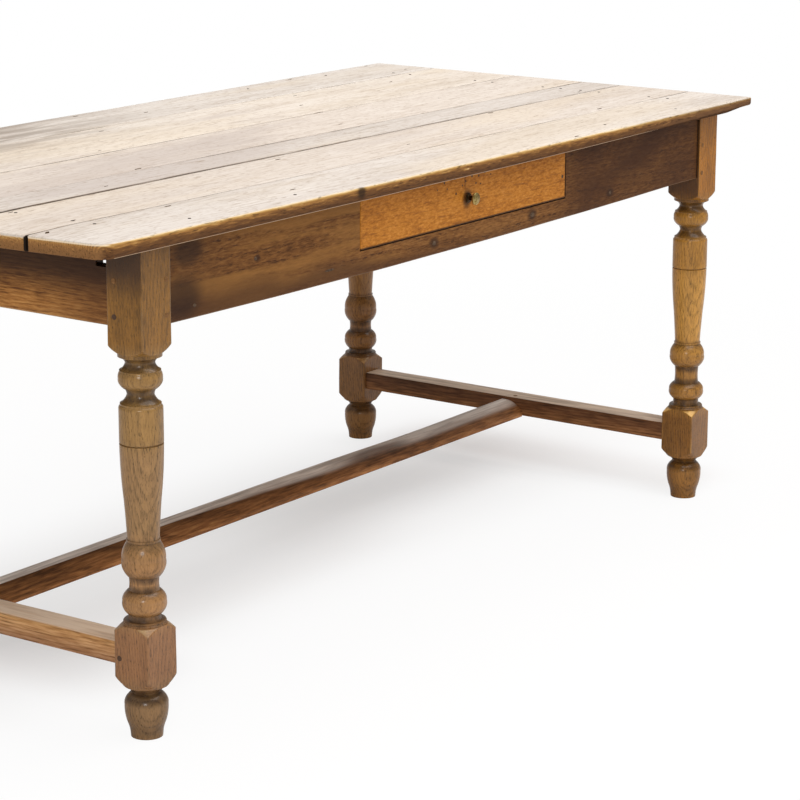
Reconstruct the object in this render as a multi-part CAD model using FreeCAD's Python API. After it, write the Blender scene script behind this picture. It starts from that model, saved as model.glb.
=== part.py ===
import FreeCAD, Part
import math
import os

# Farmhouse dining table with a drawer, turned legs and a low H stretcher.
# Millimetres, +Z up. The origin is on the floor under the middle of the top,
# +X runs along the length and the drawer opens towards -Y.

Vector = FreeCAD.Vector
os.makedirs("parts", exist_ok=True)

# Top
table_length = 1855.0
table_height = 760.0
top_thickness = 24.0
board_widths = [139.5, 150.0, 84.8, 156.9, 195.6, 143.2]
seam_gap = 0.8
tongue_width = 7.0
tongue_thickness = 8.0
top_edge_radius = 5.0
corner_radius = 6.0
worn_corner_radius = 26.0
end_overhang = 98.5
side_overhang = 21.0
end_bevel_length = 96.0
end_bevel_height = 12.0

# Legs, from the top down
leg_square = 65.0
upper_block_height = 146.5
shoulder_height = 12.0
collar_height = 5.0
upper_bead_height = 24.5
drum_height = 53.0
bulb_height = 51.5
bulb_neck_height = 21.0
lower_bead_height = 35.0
ring_neck_height = 8.0
ring_height = 3.0
lower_block_height = 67.5
foot_height = 94.0
foot_bulb_height = 67.0
turning_allowance = 0.2
collar_neck_radius = 21.8
bead_neck_radius = 20.0
vase_foot_radius = 23.6
bulb_neck_radius = 21.6
ring_neck_radius = 24.0
foot_neck_radius = 22.0
foot_tip_radius = 23.7

# The front right leg was turned by eye, with a shorter bulb and bead on longer necks
odd_bulb_height = 42.0
odd_bulb_neck_height = 32.0
odd_bead_height = 30.5
odd_ring_neck_height = 11.0

# Aprons and end rails
apron_height = 118.0
apron_thickness = 26.0
rail_thickness = 25.0
rail_recess = 4.0
tenon_thickness = 11.0
tenon_setback = 7.0
tenon_length = 34.0
tenon_rise = 10.0
tenon_haunch = 40.0
cut_out_width = 22.0
cut_out_depth = 37.0

# Stretchers
stretcher_width = 51.5
stretcher_height = 34.5
stretcher_tenon_thickness = 14.0
stretcher_tenon_height = 24.0
stretcher_tenon_length = 32.0
centre_width = 51.0
centre_height = 31.0
centre_offset = -5.0
centre_drop = 2.0
centre_wear_run = 15.0
centre_wear_drop = 25.0
centre_tenon_width = 26.0
centre_tenon_height = 15.0
centre_tenon_length = 32.0

# Pegs
peg_radius = 4.5
peg_length = 44.0
peg_proud = 0.6
apron_peg_inset = 10.0
rail_peg_inset = 14.0
peg_rises = [15.0, 67.0]
stretcher_peg_inset = 10.0
stretcher_peg_drop = 5.0
centre_peg_inset = 14.0
centre_peg_length = 30.0

# Drawer
drawer_width = 600.0
drawer_middle = 0.0
drawer_depth = 540.0
drawer_opening_height = 85.5
drawer_gap = 1.5
drawer_front_thickness = 20.0
drawer_side_thickness = 12.0
drawer_side_drop = 3.0
drawer_back_thickness = 12.0
drawer_back_inset = 10.0
drawer_back_drop = 8.0
housing_depth = 5.0
tail_length = 13.0
tail_root_height = 18.0
tail_tip_height = 24.0
tail_spacing = 29.0
upper_tail_drop = 17.0
bottom_thickness = 8.0
bottom_rise = 8.0
bottom_groove_depth = 6.0
bottom_board_gap = 0.6

# Knob, with the nut behind the drawer front
knob_shank_radius = 3.0
knob_base_radius = 8.0
knob_base_height = 2.0
knob_stem_radius = 4.2
knob_stem_length = 9.0
knob_head_radius = 10.2
knob_head_height = 7.0
knob_dome = 2.0
nut_width = 12.0
nut_height = 5.0
shank_end = 3.0

# Runners, guides and stops of the drawer
runner_height = 30.0
runner_ledge = 6.0
runner_tenon_width = 22.0
runner_tenon_height = 16.0
runner_tenon_length = 8.0
guide_width = 20.0
guide_height = 26.0
guide_length = 560.0
guide_gap = 1.0
stop_length = 24.0
stop_height = 30.0

# Nails
top_nail_head_radius = 4.2
top_nail_shank_radius = 1.8
top_nail_length = 62.0
top_nail_edge = 20.0
apron_nail_spread = [450.0, 700.0]
small_nail_head_radius = 2.6
small_nail_shank_radius = 1.2
small_nail_length = 34.0
nail_head_height = 2.0
nail_sink = 0.6
guide_nail_count = 4

# Clearances
joint_clearance = 0.2
socket_end_clearance = 1.5
running_clearance = 0.3

# Places worked out from the sizes
half_length = table_length / 2
half_width = (sum(board_widths) + seam_gap * (len(board_widths) - 1)) / 2
leg_height = table_height - top_thickness
half_leg = leg_square / 2
leg_x = half_length - end_overhang - half_leg
leg_y = half_width - side_overhang - half_leg
inner_x = leg_x - half_leg
inner_y = leg_y - half_leg
outer_x = leg_x + half_leg
outer_y = leg_y + half_leg
apron_bottom = leg_height - apron_height
apron_face = outer_y - rail_recess
apron_back_face = apron_face - apron_thickness
rail_face = outer_x - rail_recess
rail_back_face = rail_face - rail_thickness
stretcher_middle = foot_height + lower_block_height / 2
stretcher_bottom = stretcher_middle - stretcher_height / 2
stretcher_top = stretcher_bottom + stretcher_height
stretcher_inner = leg_x - stretcher_width / 2
centre_bottom = stretcher_bottom - centre_drop
strip_top = leg_height - drawer_opening_height
drawer_bottom = strip_top + drawer_gap
drawer_top = leg_height - drawer_gap
drawer_left = drawer_middle - drawer_width / 2
drawer_right = drawer_middle + drawer_width / 2
drawer_face = -apron_face
drawer_front_back = drawer_face + drawer_front_thickness
drawer_rear = drawer_face + drawer_depth
side_top = drawer_top - drawer_side_drop
back_rear = drawer_rear - drawer_back_inset
back_front = back_rear - drawer_back_thickness
bottom_low = drawer_bottom + bottom_rise
bottom_high = bottom_low + bottom_thickness
runner_top = drawer_bottom - running_clearance
runner_bottom = runner_top - runner_height
runner_tenon_low = (runner_top + runner_bottom - runner_tenon_height) / 2
knob_height = (drawer_bottom + drawer_top) / 2

signs = (-1, 1)
down = Vector(0, 0, -1)
up = Vector(0, 0, 1)


def box(x_range, y_range, z_range, grow=0.0):
    # A block between two limits each way, grown on every side for a socket.
    low = [min(span) - grow for span in (x_range, y_range, z_range)]
    high = [max(span) + grow for span in (x_range, y_range, z_range)]
    return Part.makeBox(high[0] - low[0], high[1] - low[1], high[2] - low[2], Vector(*low))


def prism(points, direction):
    return Part.Face(Part.makePolygon(points + points[:1])).extrude(direction)


def rod(start, direction, length, radius):
    return Part.makeCylinder(radius, length, start, direction)


def joined(*solids):
    return solids[0].fuse(list(solids[1:])).removeSplitter()


def save(name, shape):
    shape.exportStep(os.path.join("parts", name + ".step"))


# Mortise and tenon joints: the same block, grown by a clearance, is the socket.

def apron_tenon(side_x, side_y, clearance=0.0, end=0.0):
    outer = apron_face - tenon_setback
    return box((side_x * inner_x, side_x * (inner_x + tenon_length + end)),
               (side_y * outer, side_y * (outer - tenon_thickness)),
               (apron_bottom + tenon_rise, leg_height - tenon_haunch), clearance)


def rail_tenon(side_x, side_y, clearance=0.0, end=0.0):
    outer = rail_face - tenon_setback
    return box((side_x * outer, side_x * (outer - tenon_thickness)),
               (side_y * inner_y, side_y * (inner_y + tenon_length + end)),
               (apron_bottom + tenon_rise, leg_height - tenon_haunch), clearance)


def stretcher_tenon(side_x, side_y, clearance=0.0, end=0.0):
    half = stretcher_tenon_thickness / 2
    return box((side_x * (leg_x - half), side_x * (leg_x + half)),
               (side_y * inner_y, side_y * (inner_y + stretcher_tenon_length + end)),
               (stretcher_middle - stretcher_tenon_height / 2,
                stretcher_middle + stretcher_tenon_height / 2), clearance)


def centre_tenon(side_x, clearance=0.0, end=0.0):
    middle = centre_bottom + centre_height / 2
    return box((side_x * stretcher_inner, side_x * (stretcher_inner + centre_tenon_length + end)),
               (centre_offset - centre_tenon_width / 2, centre_offset + centre_tenon_width / 2),
               (middle - centre_tenon_height / 2, middle + centre_tenon_height / 2), clearance)


# Pegs: a list of start points with directions, shared by the pegs and the holes that hold them.

def apron_pegs(side_x, side_y):
    return [(Vector(side_x * (inner_x + apron_peg_inset), side_y * (outer_y + peg_proud), apron_bottom + rise),
             Vector(0, -side_y, 0)) for rise in peg_rises]


def rail_pegs(side_x, side_y):
    return [(Vector(side_x * (outer_x + peg_proud), side_y * (inner_y + rail_peg_inset), apron_bottom + rise),
             Vector(-side_x, 0, 0)) for rise in peg_rises]


def stretcher_pegs(side_x, side_y):
    start = Vector(side_x * (outer_x + peg_proud), side_y * (inner_y + stretcher_peg_inset),
                   stretcher_middle - stretcher_peg_drop)
    return [(start, Vector(-side_x, 0, 0))]


def centre_pegs(side_x):
    start = Vector(side_x * (stretcher_inner + centre_peg_inset), centre_offset, stretcher_top + peg_proud)
    return [(start, down)]


def peg_solids(places, length):
    return [rod(start, direction, length, peg_radius) for start, direction in places]


def peg_holes(places, length):
    return [rod(start, direction, length, peg_radius + joint_clearance) for start, direction in places]


# Nails

def nail(head_top, direction, head_radius, shank_radius, length):
    return joined(rod(head_top, direction, nail_head_height, head_radius),
                  rod(head_top, direction, length, shank_radius))


def nail_hole(head_top, direction, head_radius, shank_radius, length):
    # The head's seat is open to the surface, and the hole ends where the nail ends.
    mouth = head_top - direction * (nail_sink + 1)
    seat = rod(mouth, direction, nail_head_height + nail_sink + 1, head_radius + joint_clearance)
    return joined(seat, rod(mouth, direction, length + nail_sink + 1, shank_radius + joint_clearance))


top_nail_size = (top_nail_head_radius, top_nail_shank_radius, top_nail_length)
small_nail_size = (small_nail_head_radius, small_nail_shank_radius, small_nail_length)


# Legs

def leg_outline(bulb, bulb_neck, bead, ring_neck):
    # Steps of (end radius, drop, bulge): a bulge other than 0 makes the step an arc.
    block = leg_square / math.sqrt(2) + 0.5
    full = half_leg - turning_allowance
    fillet = full - 2.2
    upper = [
        (block, upper_block_height, 0),
        (full + 1.2, shoulder_height, 1.2),
        (full, 0.5, 0),
        (full, collar_height, 0),
        (full - 3.2, 0.8, 0),
        (collar_neck_radius, 8.7, -1.8),
        (fillet - 1.5, 10.5, -1.4),
        (fillet, 0.2, 0),
        (fillet, 1.8, 0),
        (full, upper_bead_height * 0.43, 0.9),
        (full - 6.8, upper_bead_height * 0.57, 2.4),
        (full - 9.3, 1.0, 0),
        (bead_neck_radius, 8.0, -0.6),
        (fillet - 1.4, 13.0, -1.7),
        (fillet, 0.3, 0),
        (fillet, 2.7, 0),
        (full, 4.0, 0.5),
        (full, drum_height, 0),
        (full - 1.8, 1.0, 0),
        (full - 0.1, 1.0, 0),
    ]
    lower = [
        (vase_foot_radius + 1.4, 0.4, 0),
        (vase_foot_radius + 1.4, 3.0, 0),
        (vase_foot_radius + 0.6, 0.6, 0),
        (full, bulb * 0.52, 2.7),
        (full - 7.4, bulb * 0.48, 3.2),
        (bulb_neck_radius + 1.0, 0.8, 0),
        (bulb_neck_radius, bulb_neck / 2, -0.2),
        (bulb_neck_radius + 1.0, bulb_neck / 2, -0.2),
        (bulb_neck_radius + 3.0, 0.6, 0),
        (full, bead * 0.46, 2.6),
        (full - 6.6, bead * 0.54, 2.9),
        (ring_neck_radius, 1.0, 0),
        (ring_neck_radius + 0.8, ring_neck, -0.5),
        (full - 1.6, 0.5, 0),
        (full - 1.2, ring_height, 0.8),
        (full - 0.4, ring_height, 0.8),
        (full + 0.7, 0.4, 0),
        (block, shoulder_height - 1.5, 0),
        (block, lower_block_height, 0),
    ]
    foot_shoulder = foot_height - foot_bulb_height - 14.0
    foot = [
        (full + 3.3, foot_shoulder, 0.8),
        (full + 0.8, 3.5, 0.4),
        (full - 2.8, 1.0, 0),
        (foot_neck_radius, 9.5, -1.2),
        (full + 0.1, foot_bulb_height * 0.28, 3.4),
        (full - 3.8, foot_bulb_height * 0.39, 1.3),
        (foot_tip_radius + 0.7, foot_bulb_height * 0.22, -0.6),
        (foot_tip_radius, foot_bulb_height * 0.11, 0),
    ]
    vase_length = leg_height - sum(step[1] for step in upper + lower + foot)
    vase = [
        (vase_foot_radius + 3.9, vase_length * 0.577, 1.0),
        (vase_foot_radius, vase_length * 0.423, -0.3),
    ]
    return block, upper + vase + lower + foot


def turned_leg(*heights):
    start_radius, steps = leg_outline(*heights)
    here = Vector(start_radius, 0, leg_height)
    edges = [Part.makeLine(Vector(0, 0, leg_height), here)]
    for end_radius, drop, bulge in steps:
        there = Vector(end_radius, 0, here.z - drop)
        if bulge:
            middle = (here + there) * 0.5 + Vector(bulge, 0, 0)
            edges.append(Part.Arc(here, middle, there).toShape())
        else:
            edges.append(Part.makeLine(here, there))
        here = there
    edges.append(Part.makeLine(here, Vector(0, 0, here.z)))
    edges.append(Part.makeLine(Vector(0, 0, here.z), Vector(0, 0, leg_height)))
    turned = Part.Face(Part.Wire(edges)).revolve(Vector(0, 0, 0), up, 360)
    square = box((-half_leg, half_leg), (-half_leg, half_leg), (0, leg_height))
    return turned.common(square)


def leg(side_x, side_y):
    if side_x > 0 and side_y < 0:
        solid = turned_leg(odd_bulb_height, odd_bulb_neck_height, odd_bead_height, odd_ring_neck_height)
    else:
        solid = turned_leg(bulb_height, bulb_neck_height, lower_bead_height, ring_neck_height)
    solid.translate(Vector(side_x * leg_x, side_y * leg_y, 0))
    sockets = [apron_tenon(side_x, side_y, joint_clearance, socket_end_clearance),
               rail_tenon(side_x, side_y, joint_clearance, socket_end_clearance),
               stretcher_tenon(side_x, side_y, joint_clearance, socket_end_clearance)]
    places = apron_pegs(side_x, side_y) + rail_pegs(side_x, side_y) + stretcher_pegs(side_x, side_y)
    return solid.cut(sockets + peg_holes(places, peg_length))


# Nails of the top: through the end of each board into an end rail, and along the aprons.

def board_edges():
    edges = []
    front = -half_width
    for width in board_widths:
        edges.append((front, front + width))
        front += width + seam_gap
    return edges


def end_nails(side_x):
    x = side_x * (rail_face + rail_back_face) / 2
    limit = inner_y - cut_out_width
    places = []
    for front, back in board_edges():
        for y in (front + top_nail_edge, back - top_nail_edge):
            if abs(y) < limit:
                places.append(Vector(x, y, table_height - nail_sink))
    return places


def apron_nails(side_y):
    y = side_y * (apron_face + apron_back_face) / 2
    spread = [-x for x in apron_nail_spread] + apron_nail_spread
    return [Vector(x, y, table_height - nail_sink) for x in spread]


def top_nail_holes(places):
    return [nail_hole(place, down, *top_nail_size) for place in places]


all_top_nails = end_nails(-1) + end_nails(1) + apron_nails(-1) + apron_nails(1)


# Top boards

def rounded_outline(corners):
    # A closed outline through right-angled corners, each given as a point and a radius.
    arcs = []
    for i, (corner, radius) in enumerate(corners):
        before = corners[i - 1][0]
        after = corners[(i + 1) % len(corners)][0]
        start = corner + (before - corner).normalize() * radius
        end = corner + (after - corner).normalize() * radius
        centre = start + end - corner
        arcs.append((start, centre, end, radius))
    edges = []
    for i, (start, centre, end, radius) in enumerate(arcs):
        if radius:
            middle = centre + (start + end - centre * 2).normalize() * radius
            edges.append(Part.Arc(start, middle, end).toShape())
        edges.append(Part.makeLine(end, arcs[(i + 1) % len(arcs)][0]))
    return Part.Wire(edges)


def rounded_board(index):
    # Only the outer boards carry the top's corners, and the near left one is worn most.
    front, back = board_edges()[index]
    first = index == 0
    last = index == len(board_widths) - 1
    back_radius = corner_radius if last else 0.0
    corners = [
        (Vector(-half_length, front, leg_height), worn_corner_radius if first else 0.0),
        (Vector(half_length, front, leg_height), corner_radius if first else 0.0),
        (Vector(half_length, back, leg_height), back_radius),
        (Vector(-half_length, back, leg_height), back_radius),
    ]
    solid = Part.Face(rounded_outline(corners)).extrude(Vector(0, 0, top_thickness))
    seams = ([] if first else [front]) + ([] if last else [back])
    rims = []
    for edge in solid.Edges:
        high = all(abs(vertex.Z - table_height) < 0.01 for vertex in edge.Vertexes)
        at_seam = any(abs(edge.CenterOfMass.y - y) < 0.01 for y in seams)
        if high and not at_seam:
            rims.append(edge)
    return solid.makeFillet(top_edge_radius, rims)


def tongue(front, clearance=0.0):
    # The tongues stop over the end rails, so a seam that opens at its end shows light.
    middle = (leg_height + table_height) / 2
    return box((-rail_face, rail_face), (front - seam_gap - tongue_width, front),
               (middle - tongue_thickness / 2, middle + tongue_thickness / 2), clearance)


def end_bevel():
    # The underside of the right end slopes up to a thin edge.
    points = [Vector(x, -half_width - 1, z) for x, z in (
        (half_length - end_bevel_length, leg_height), (half_length, leg_height),
        (half_length, leg_height + end_bevel_height))]
    return prism(points, Vector(0, 2 * half_width + 2, 0))


def top_board(index):
    edges = board_edges()
    front, back = edges[index]
    solid = rounded_board(index)
    if index > 0:
        solid = joined(solid, tongue(front))
    cuts = [end_bevel()]
    if index < len(edges) - 1:
        cuts.append(tongue(edges[index + 1][0], joint_clearance))
    cuts += top_nail_holes([place for place in all_top_nails if front < place.y < back])
    return solid.cut(cuts)


# Aprons, end rails and stretchers

def apron(side_y):
    solid = box((-inner_x, inner_x), (side_y * apron_face, side_y * apron_back_face), (apron_bottom, leg_height))
    solid = joined(solid, apron_tenon(-1, side_y), apron_tenon(1, side_y))
    cuts = top_nail_holes(apron_nails(side_y))
    for side in signs:
        cuts += peg_holes(apron_pegs(side, side_y), peg_length)
        cuts.append(runner_tenon(side, side_y, joint_clearance))
    if side_y < 0:
        cuts.append(box((drawer_left - drawer_gap, drawer_right + drawer_gap),
                        (-apron_face - 1, -apron_back_face + 1), (strip_top, leg_height + 1)))
    return solid.cut(cuts)


def end_rail(side_x):
    solid = box((side_x * rail_face, side_x * rail_back_face), (-inner_y, inner_y), (apron_bottom, leg_height))
    solid = joined(solid, rail_tenon(side_x, -1), rail_tenon(side_x, 1))
    cuts = top_nail_holes(end_nails(side_x))
    for side in signs:
        cuts += peg_holes(rail_pegs(side_x, side), peg_length)
    if side_x < 0:
        cuts.append(box((-rail_face - 1, -rail_back_face + 1), (-inner_y - 1, -inner_y + cut_out_width),
                        (leg_height - cut_out_depth, leg_height + 1)))
    return solid.cut(cuts)


def end_stretcher(side_x):
    half = stretcher_width / 2
    solid = box((side_x * (leg_x - half), side_x * (leg_x + half)), (-inner_y, inner_y),
                (stretcher_bottom, stretcher_top))
    solid = joined(solid, stretcher_tenon(side_x, -1), stretcher_tenon(side_x, 1))
    cuts = [centre_tenon(side_x, joint_clearance, socket_end_clearance)]
    cuts += peg_holes(centre_pegs(side_x), centre_peg_length)
    for side in signs:
        cuts += peg_holes(stretcher_pegs(side_x, side), peg_length)
    return solid.cut(cuts)


def centre_stretcher():
    front = centre_offset - centre_width / 2
    back = centre_offset + centre_width / 2
    top = centre_bottom + centre_height
    section = [Vector(-stretcher_inner, y, z) for y, z in (
        (front, centre_bottom), (front, top - centre_wear_drop), (front + centre_wear_run, top),
        (back, top), (back, centre_bottom))]
    solid = prism(section, Vector(2 * stretcher_inner, 0, 0))
    solid = joined(solid, centre_tenon(-1), centre_tenon(1))
    return solid.cut(peg_holes(centre_pegs(-1) + centre_pegs(1), centre_peg_length))


# What carries the drawer. Each piece takes its side from the drawer side that it serves.

def drawer_side_outer(side):
    return drawer_left if side < 0 else drawer_right


def runner_span(side):
    outer = drawer_side_outer(side)
    return (outer + side * (guide_gap + guide_width), outer - side * (drawer_side_thickness + runner_ledge))


def runner_tenon(side, side_y, clearance=0.0):
    middle = sum(runner_span(side)) / 2
    return box((middle - runner_tenon_width / 2, middle + runner_tenon_width / 2),
               (side_y * apron_back_face, side_y * (apron_back_face + runner_tenon_length)),
               (runner_tenon_low, runner_tenon_low + runner_tenon_height), clearance)


def guide_nails(side):
    outer = drawer_side_outer(side)
    x = outer + side * (guide_gap + guide_width / 2)
    pitch = guide_length / guide_nail_count
    top = runner_top + guide_height - nail_sink
    return [Vector(x, -apron_back_face + pitch * (i + 0.5), top) for i in range(guide_nail_count)]


def stop_nail(side):
    x = drawer_side_outer(side) - side * drawer_side_thickness / 2
    y = drawer_rear + running_clearance + stop_length / 2
    return Vector(x, y, runner_top + stop_height - nail_sink)


def runner(side):
    solid = box(runner_span(side), (-apron_back_face, apron_back_face), (runner_bottom, runner_top))
    solid = joined(solid, runner_tenon(side, -1), runner_tenon(side, 1))
    return solid.cut([nail_hole(place, down, *small_nail_size) for place in guide_nails(side) + [stop_nail(side)]])


def guide(side):
    outer = drawer_side_outer(side)
    solid = box((outer + side * guide_gap, outer + side * (guide_gap + guide_width)),
                (-apron_back_face, -apron_back_face + guide_length), (runner_top, runner_top + guide_height))
    return solid.cut([nail_hole(place, down, *small_nail_size) for place in guide_nails(side)])


def stop(side):
    outer = drawer_side_outer(side)
    rear = drawer_rear + running_clearance
    solid = box((outer, outer - side * drawer_side_thickness), (rear, rear + stop_length),
                (runner_top, runner_top + stop_height))
    return solid.cut(nail_hole(stop_nail(side), down, *small_nail_size))


# Drawer

def tail(side, drop, clearance=0.0, lead=0.0):
    # One dovetail, seen from the side: narrow at the side's shoulder, wide at its end.
    outer = drawer_side_outer(side)
    root = tail_root_height / 2 + clearance
    tip = tail_tip_height / 2 + clearance
    middle = side_top - drop
    tip_y = drawer_front_back - tail_length - clearance
    points = [Vector(outer + side * lead, y, z) for y, z in (
        (drawer_front_back, middle - root), (tip_y, middle - tip),
        (tip_y, middle + tip), (drawer_front_back, middle + root))]
    return prism(points, Vector(-side * (drawer_side_thickness + lead + clearance), 0, 0))


def tails(side, clearance=0.0, lead=0.0):
    return [tail(side, drop, clearance, lead) for drop in (upper_tail_drop, upper_tail_drop + tail_spacing)]


def bottom_tray(clearance=0.0):
    reach = drawer_side_thickness - bottom_groove_depth
    return box((drawer_left + reach, drawer_right - reach),
               (drawer_front_back - bottom_groove_depth, drawer_rear), (bottom_low, bottom_high), clearance)


def knob_hole():
    start = Vector(drawer_middle, drawer_face - 1, knob_height)
    return rod(start, Vector(0, 1, 0), drawer_front_thickness + 2, knob_shank_radius + joint_clearance)


def drawer_front():
    solid = box((drawer_left, drawer_right), (drawer_face, drawer_front_back), (drawer_bottom, drawer_top))
    groove = bottom_tray(joint_clearance)
    return solid.cut(tails(-1, joint_clearance, 1.0) + tails(1, joint_clearance, 1.0) + [groove, knob_hole()])


def side_nails(side):
    x = drawer_side_outer(side) - side * nail_sink
    y = (back_front + back_rear) / 2
    low = bottom_high + drawer_back_drop * 2
    return [(Vector(x, y, z), Vector(-side, 0, 0)) for z in (low, side_top - drawer_back_drop * 2)]


def bottom_nails():
    y = (back_front + back_rear) / 2
    third = drawer_width / 3
    return [(Vector(drawer_middle + i * third, y, bottom_low + nail_sink), up) for i in (-1, 0, 1)]


def drawer_nail_holes(places):
    return [nail_hole(place, direction, *small_nail_size) for place, direction in places]


def drawer_side(side):
    outer = drawer_side_outer(side)
    inner = outer - side * drawer_side_thickness
    solid = box((outer, inner), (drawer_front_back, drawer_rear), (drawer_bottom, side_top))
    solid = joined(solid, *tails(side))
    housing = box((inner, inner + side * housing_depth), (back_front, back_rear),
                  (bottom_high, side_top + 1), joint_clearance)
    return solid.cut([bottom_tray(joint_clearance), housing] + drawer_nail_holes(side_nails(side)))


def drawer_back():
    reach = drawer_side_thickness - housing_depth
    solid = box((drawer_left + reach, drawer_right - reach), (back_front, back_rear),
                (bottom_high, side_top - drawer_back_drop))
    return solid.cut(drawer_nail_holes(side_nails(-1) + side_nails(1) + bottom_nails()))


def bottom_boards():
    names = ["front", "middle", "rear"]
    tray = bottom_tray().BoundBox
    width = (tray.YLength - bottom_board_gap * (len(names) - 1)) / len(names)
    boards = {}
    for i, name in enumerate(names):
        start = tray.YMin + i * (width + bottom_board_gap)
        solid = box((tray.XMin, tray.XMax), (start, start + width), (tray.ZMin, tray.ZMax))
        boards[name] = solid.cut(drawer_nail_holes(bottom_nails()))
    return boards


def knob():
    # Turned about its shank: base, stem, mushroom head with a low round dome.
    base = -knob_base_height
    neck = base - knob_stem_length
    crown = neck - knob_head_height
    rim = crown + knob_dome
    waist = (neck + rim) / 2
    inside = drawer_front_thickness + nut_height + shank_end
    corners = [Vector(radius, place, 0) for radius, place in (
        (0, crown), (0, inside), (knob_shank_radius, inside), (knob_shank_radius, 0), (knob_base_radius, 0),
        (knob_base_radius, base), (knob_stem_radius, base), (knob_stem_radius, neck),
        (knob_head_radius, waist), (knob_head_radius, rim))]
    outline = [Part.makeLine(start, end) for start, end in zip(corners, corners[1:])]
    dome_radius = (knob_head_radius ** 2 + knob_dome ** 2) / (2 * knob_dome)
    half_angle = math.asin(knob_head_radius / dome_radius) / 2
    middle = Vector(dome_radius * math.sin(half_angle), crown + dome_radius * (1 - math.cos(half_angle)), 0)
    outline.append(Part.Arc(corners[-1], middle, corners[0]).toShape())
    solid = Part.Face(Part.Wire(outline)).revolve(Vector(0, 0, 0), Vector(0, 1, 0), 360)
    solid.translate(Vector(drawer_middle, drawer_face, knob_height))
    return solid


def knob_nut():
    half = nut_width / 2
    solid = box((drawer_middle - half, drawer_middle + half), (drawer_front_back, drawer_front_back + nut_height),
                (knob_height - half, knob_height + half))
    start = Vector(drawer_middle, drawer_front_back - 1, knob_height)
    return solid.cut(rod(start, Vector(0, 1, 0), nut_height + 2, knob_shank_radius + joint_clearance))


# Every piece is saved under its own name.

corner_names = {(-1, -1): "front_left", (1, -1): "front_right", (-1, 1): "back_left", (1, 1): "back_right"}
side_names = {-1: "left", 1: "right"}
joint_pegs = []
low_pegs = []
for (side_x, side_y), corner in corner_names.items():
    save("leg_" + corner, leg(side_x, side_y))
    joint_pegs += apron_pegs(side_x, side_y) + rail_pegs(side_x, side_y)
    low_pegs += stretcher_pegs(side_x, side_y)
save("rail_pegs", Part.makeCompound(peg_solids(joint_pegs, peg_length)))
save("stretcher_pegs", Part.makeCompound(peg_solids(low_pegs, peg_length)))
save("centre_pegs", Part.makeCompound(peg_solids(centre_pegs(-1) + centre_pegs(1), centre_peg_length)))

save("apron_front", apron(-1))
save("apron_back", apron(1))
save("stretcher_centre", centre_stretcher())
inner_nails = []
for side, side_name in side_names.items():
    save("end_rail_" + side_name, end_rail(side))
    save("stretcher_" + side_name, end_stretcher(side))
    save("drawer_runner_" + side_name, runner(side))
    save("drawer_guide_" + side_name, guide(side))
    save("drawer_stop_" + side_name, stop(side))
    save("drawer_side_" + side_name, drawer_side(side))
    inner_nails += guide_nails(side) + [stop_nail(side)]
save("guide_nails", Part.makeCompound([nail(place, down, *small_nail_size) for place in inner_nails]))

for i in range(len(board_widths)):
    save("top_board_" + str(i + 1), top_board(i))
save("top_nails", Part.makeCompound([nail(place, down, *top_nail_size) for place in all_top_nails]))

save("drawer_front", drawer_front())
save("drawer_back", drawer_back())
for place_name, board in bottom_boards().items():
    save("drawer_bottom_" + place_name, board)
drawer_nail_places = side_nails(-1) + side_nails(1) + bottom_nails()
save("drawer_nails", Part.makeCompound([nail(place, direction, *small_nail_size)
                                        for place, direction in drawer_nail_places]))
save("drawer_knob", knob())
save("drawer_knob_nut", knob_nut())
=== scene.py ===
import math

import bmesh
import bpy
from mathutils import Matrix, Vector, noise


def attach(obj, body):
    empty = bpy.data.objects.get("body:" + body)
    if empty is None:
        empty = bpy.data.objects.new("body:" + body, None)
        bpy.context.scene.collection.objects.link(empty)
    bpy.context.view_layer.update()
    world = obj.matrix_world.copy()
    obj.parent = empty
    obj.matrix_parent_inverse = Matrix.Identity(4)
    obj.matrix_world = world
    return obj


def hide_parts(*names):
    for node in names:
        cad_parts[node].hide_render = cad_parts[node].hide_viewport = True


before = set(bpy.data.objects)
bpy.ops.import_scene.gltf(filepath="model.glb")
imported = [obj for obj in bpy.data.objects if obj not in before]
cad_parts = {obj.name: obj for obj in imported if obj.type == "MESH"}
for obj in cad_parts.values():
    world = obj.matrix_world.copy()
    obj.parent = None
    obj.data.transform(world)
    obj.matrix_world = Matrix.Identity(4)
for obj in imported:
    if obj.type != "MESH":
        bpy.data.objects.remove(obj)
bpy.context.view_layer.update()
print("frame loaded")


# camera, read off the straight edges of the table
cameraSetup = {
    "place": (-3.76455, -2.92500, 1.47378),
    "yaw": 35.1247,     # degrees from +X towards +Y
    "pitch": 13.9205,   # degrees down
    "roll": 0.2032,
    "lens": 126.03,
    "sensor": 36.0,
    "farthest": 60.0,
}


def addCamera(setup):
    yaw, pitch, roll = (math.radians(setup[key]) for key in ("yaw", "pitch", "roll"))
    ahead = Vector((math.cos(yaw) * math.cos(pitch), math.sin(yaw) * math.cos(pitch), -math.sin(pitch)))
    level = Vector((math.sin(yaw), -math.cos(yaw), 0.0))
    upright = level.cross(ahead)
    right = level * math.cos(roll) + upright * math.sin(roll)
    up = upright * math.cos(roll) - level * math.sin(roll)
    turn = Matrix((right, up, -ahead)).transposed().to_4x4()
    data = bpy.data.cameras.new("tableCamera")
    data.lens = setup["lens"]
    data.sensor_width = setup["sensor"]
    data.clip_end = setup["farthest"]
    camera = bpy.data.objects.new("tableCamera", data)
    camera.matrix_world = Matrix.Translation(setup["place"]) @ turn
    bpy.context.scene.collection.objects.link(camera)
    bpy.context.scene.camera = camera


addCamera(cameraSetup)
print("camera ready")


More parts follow.
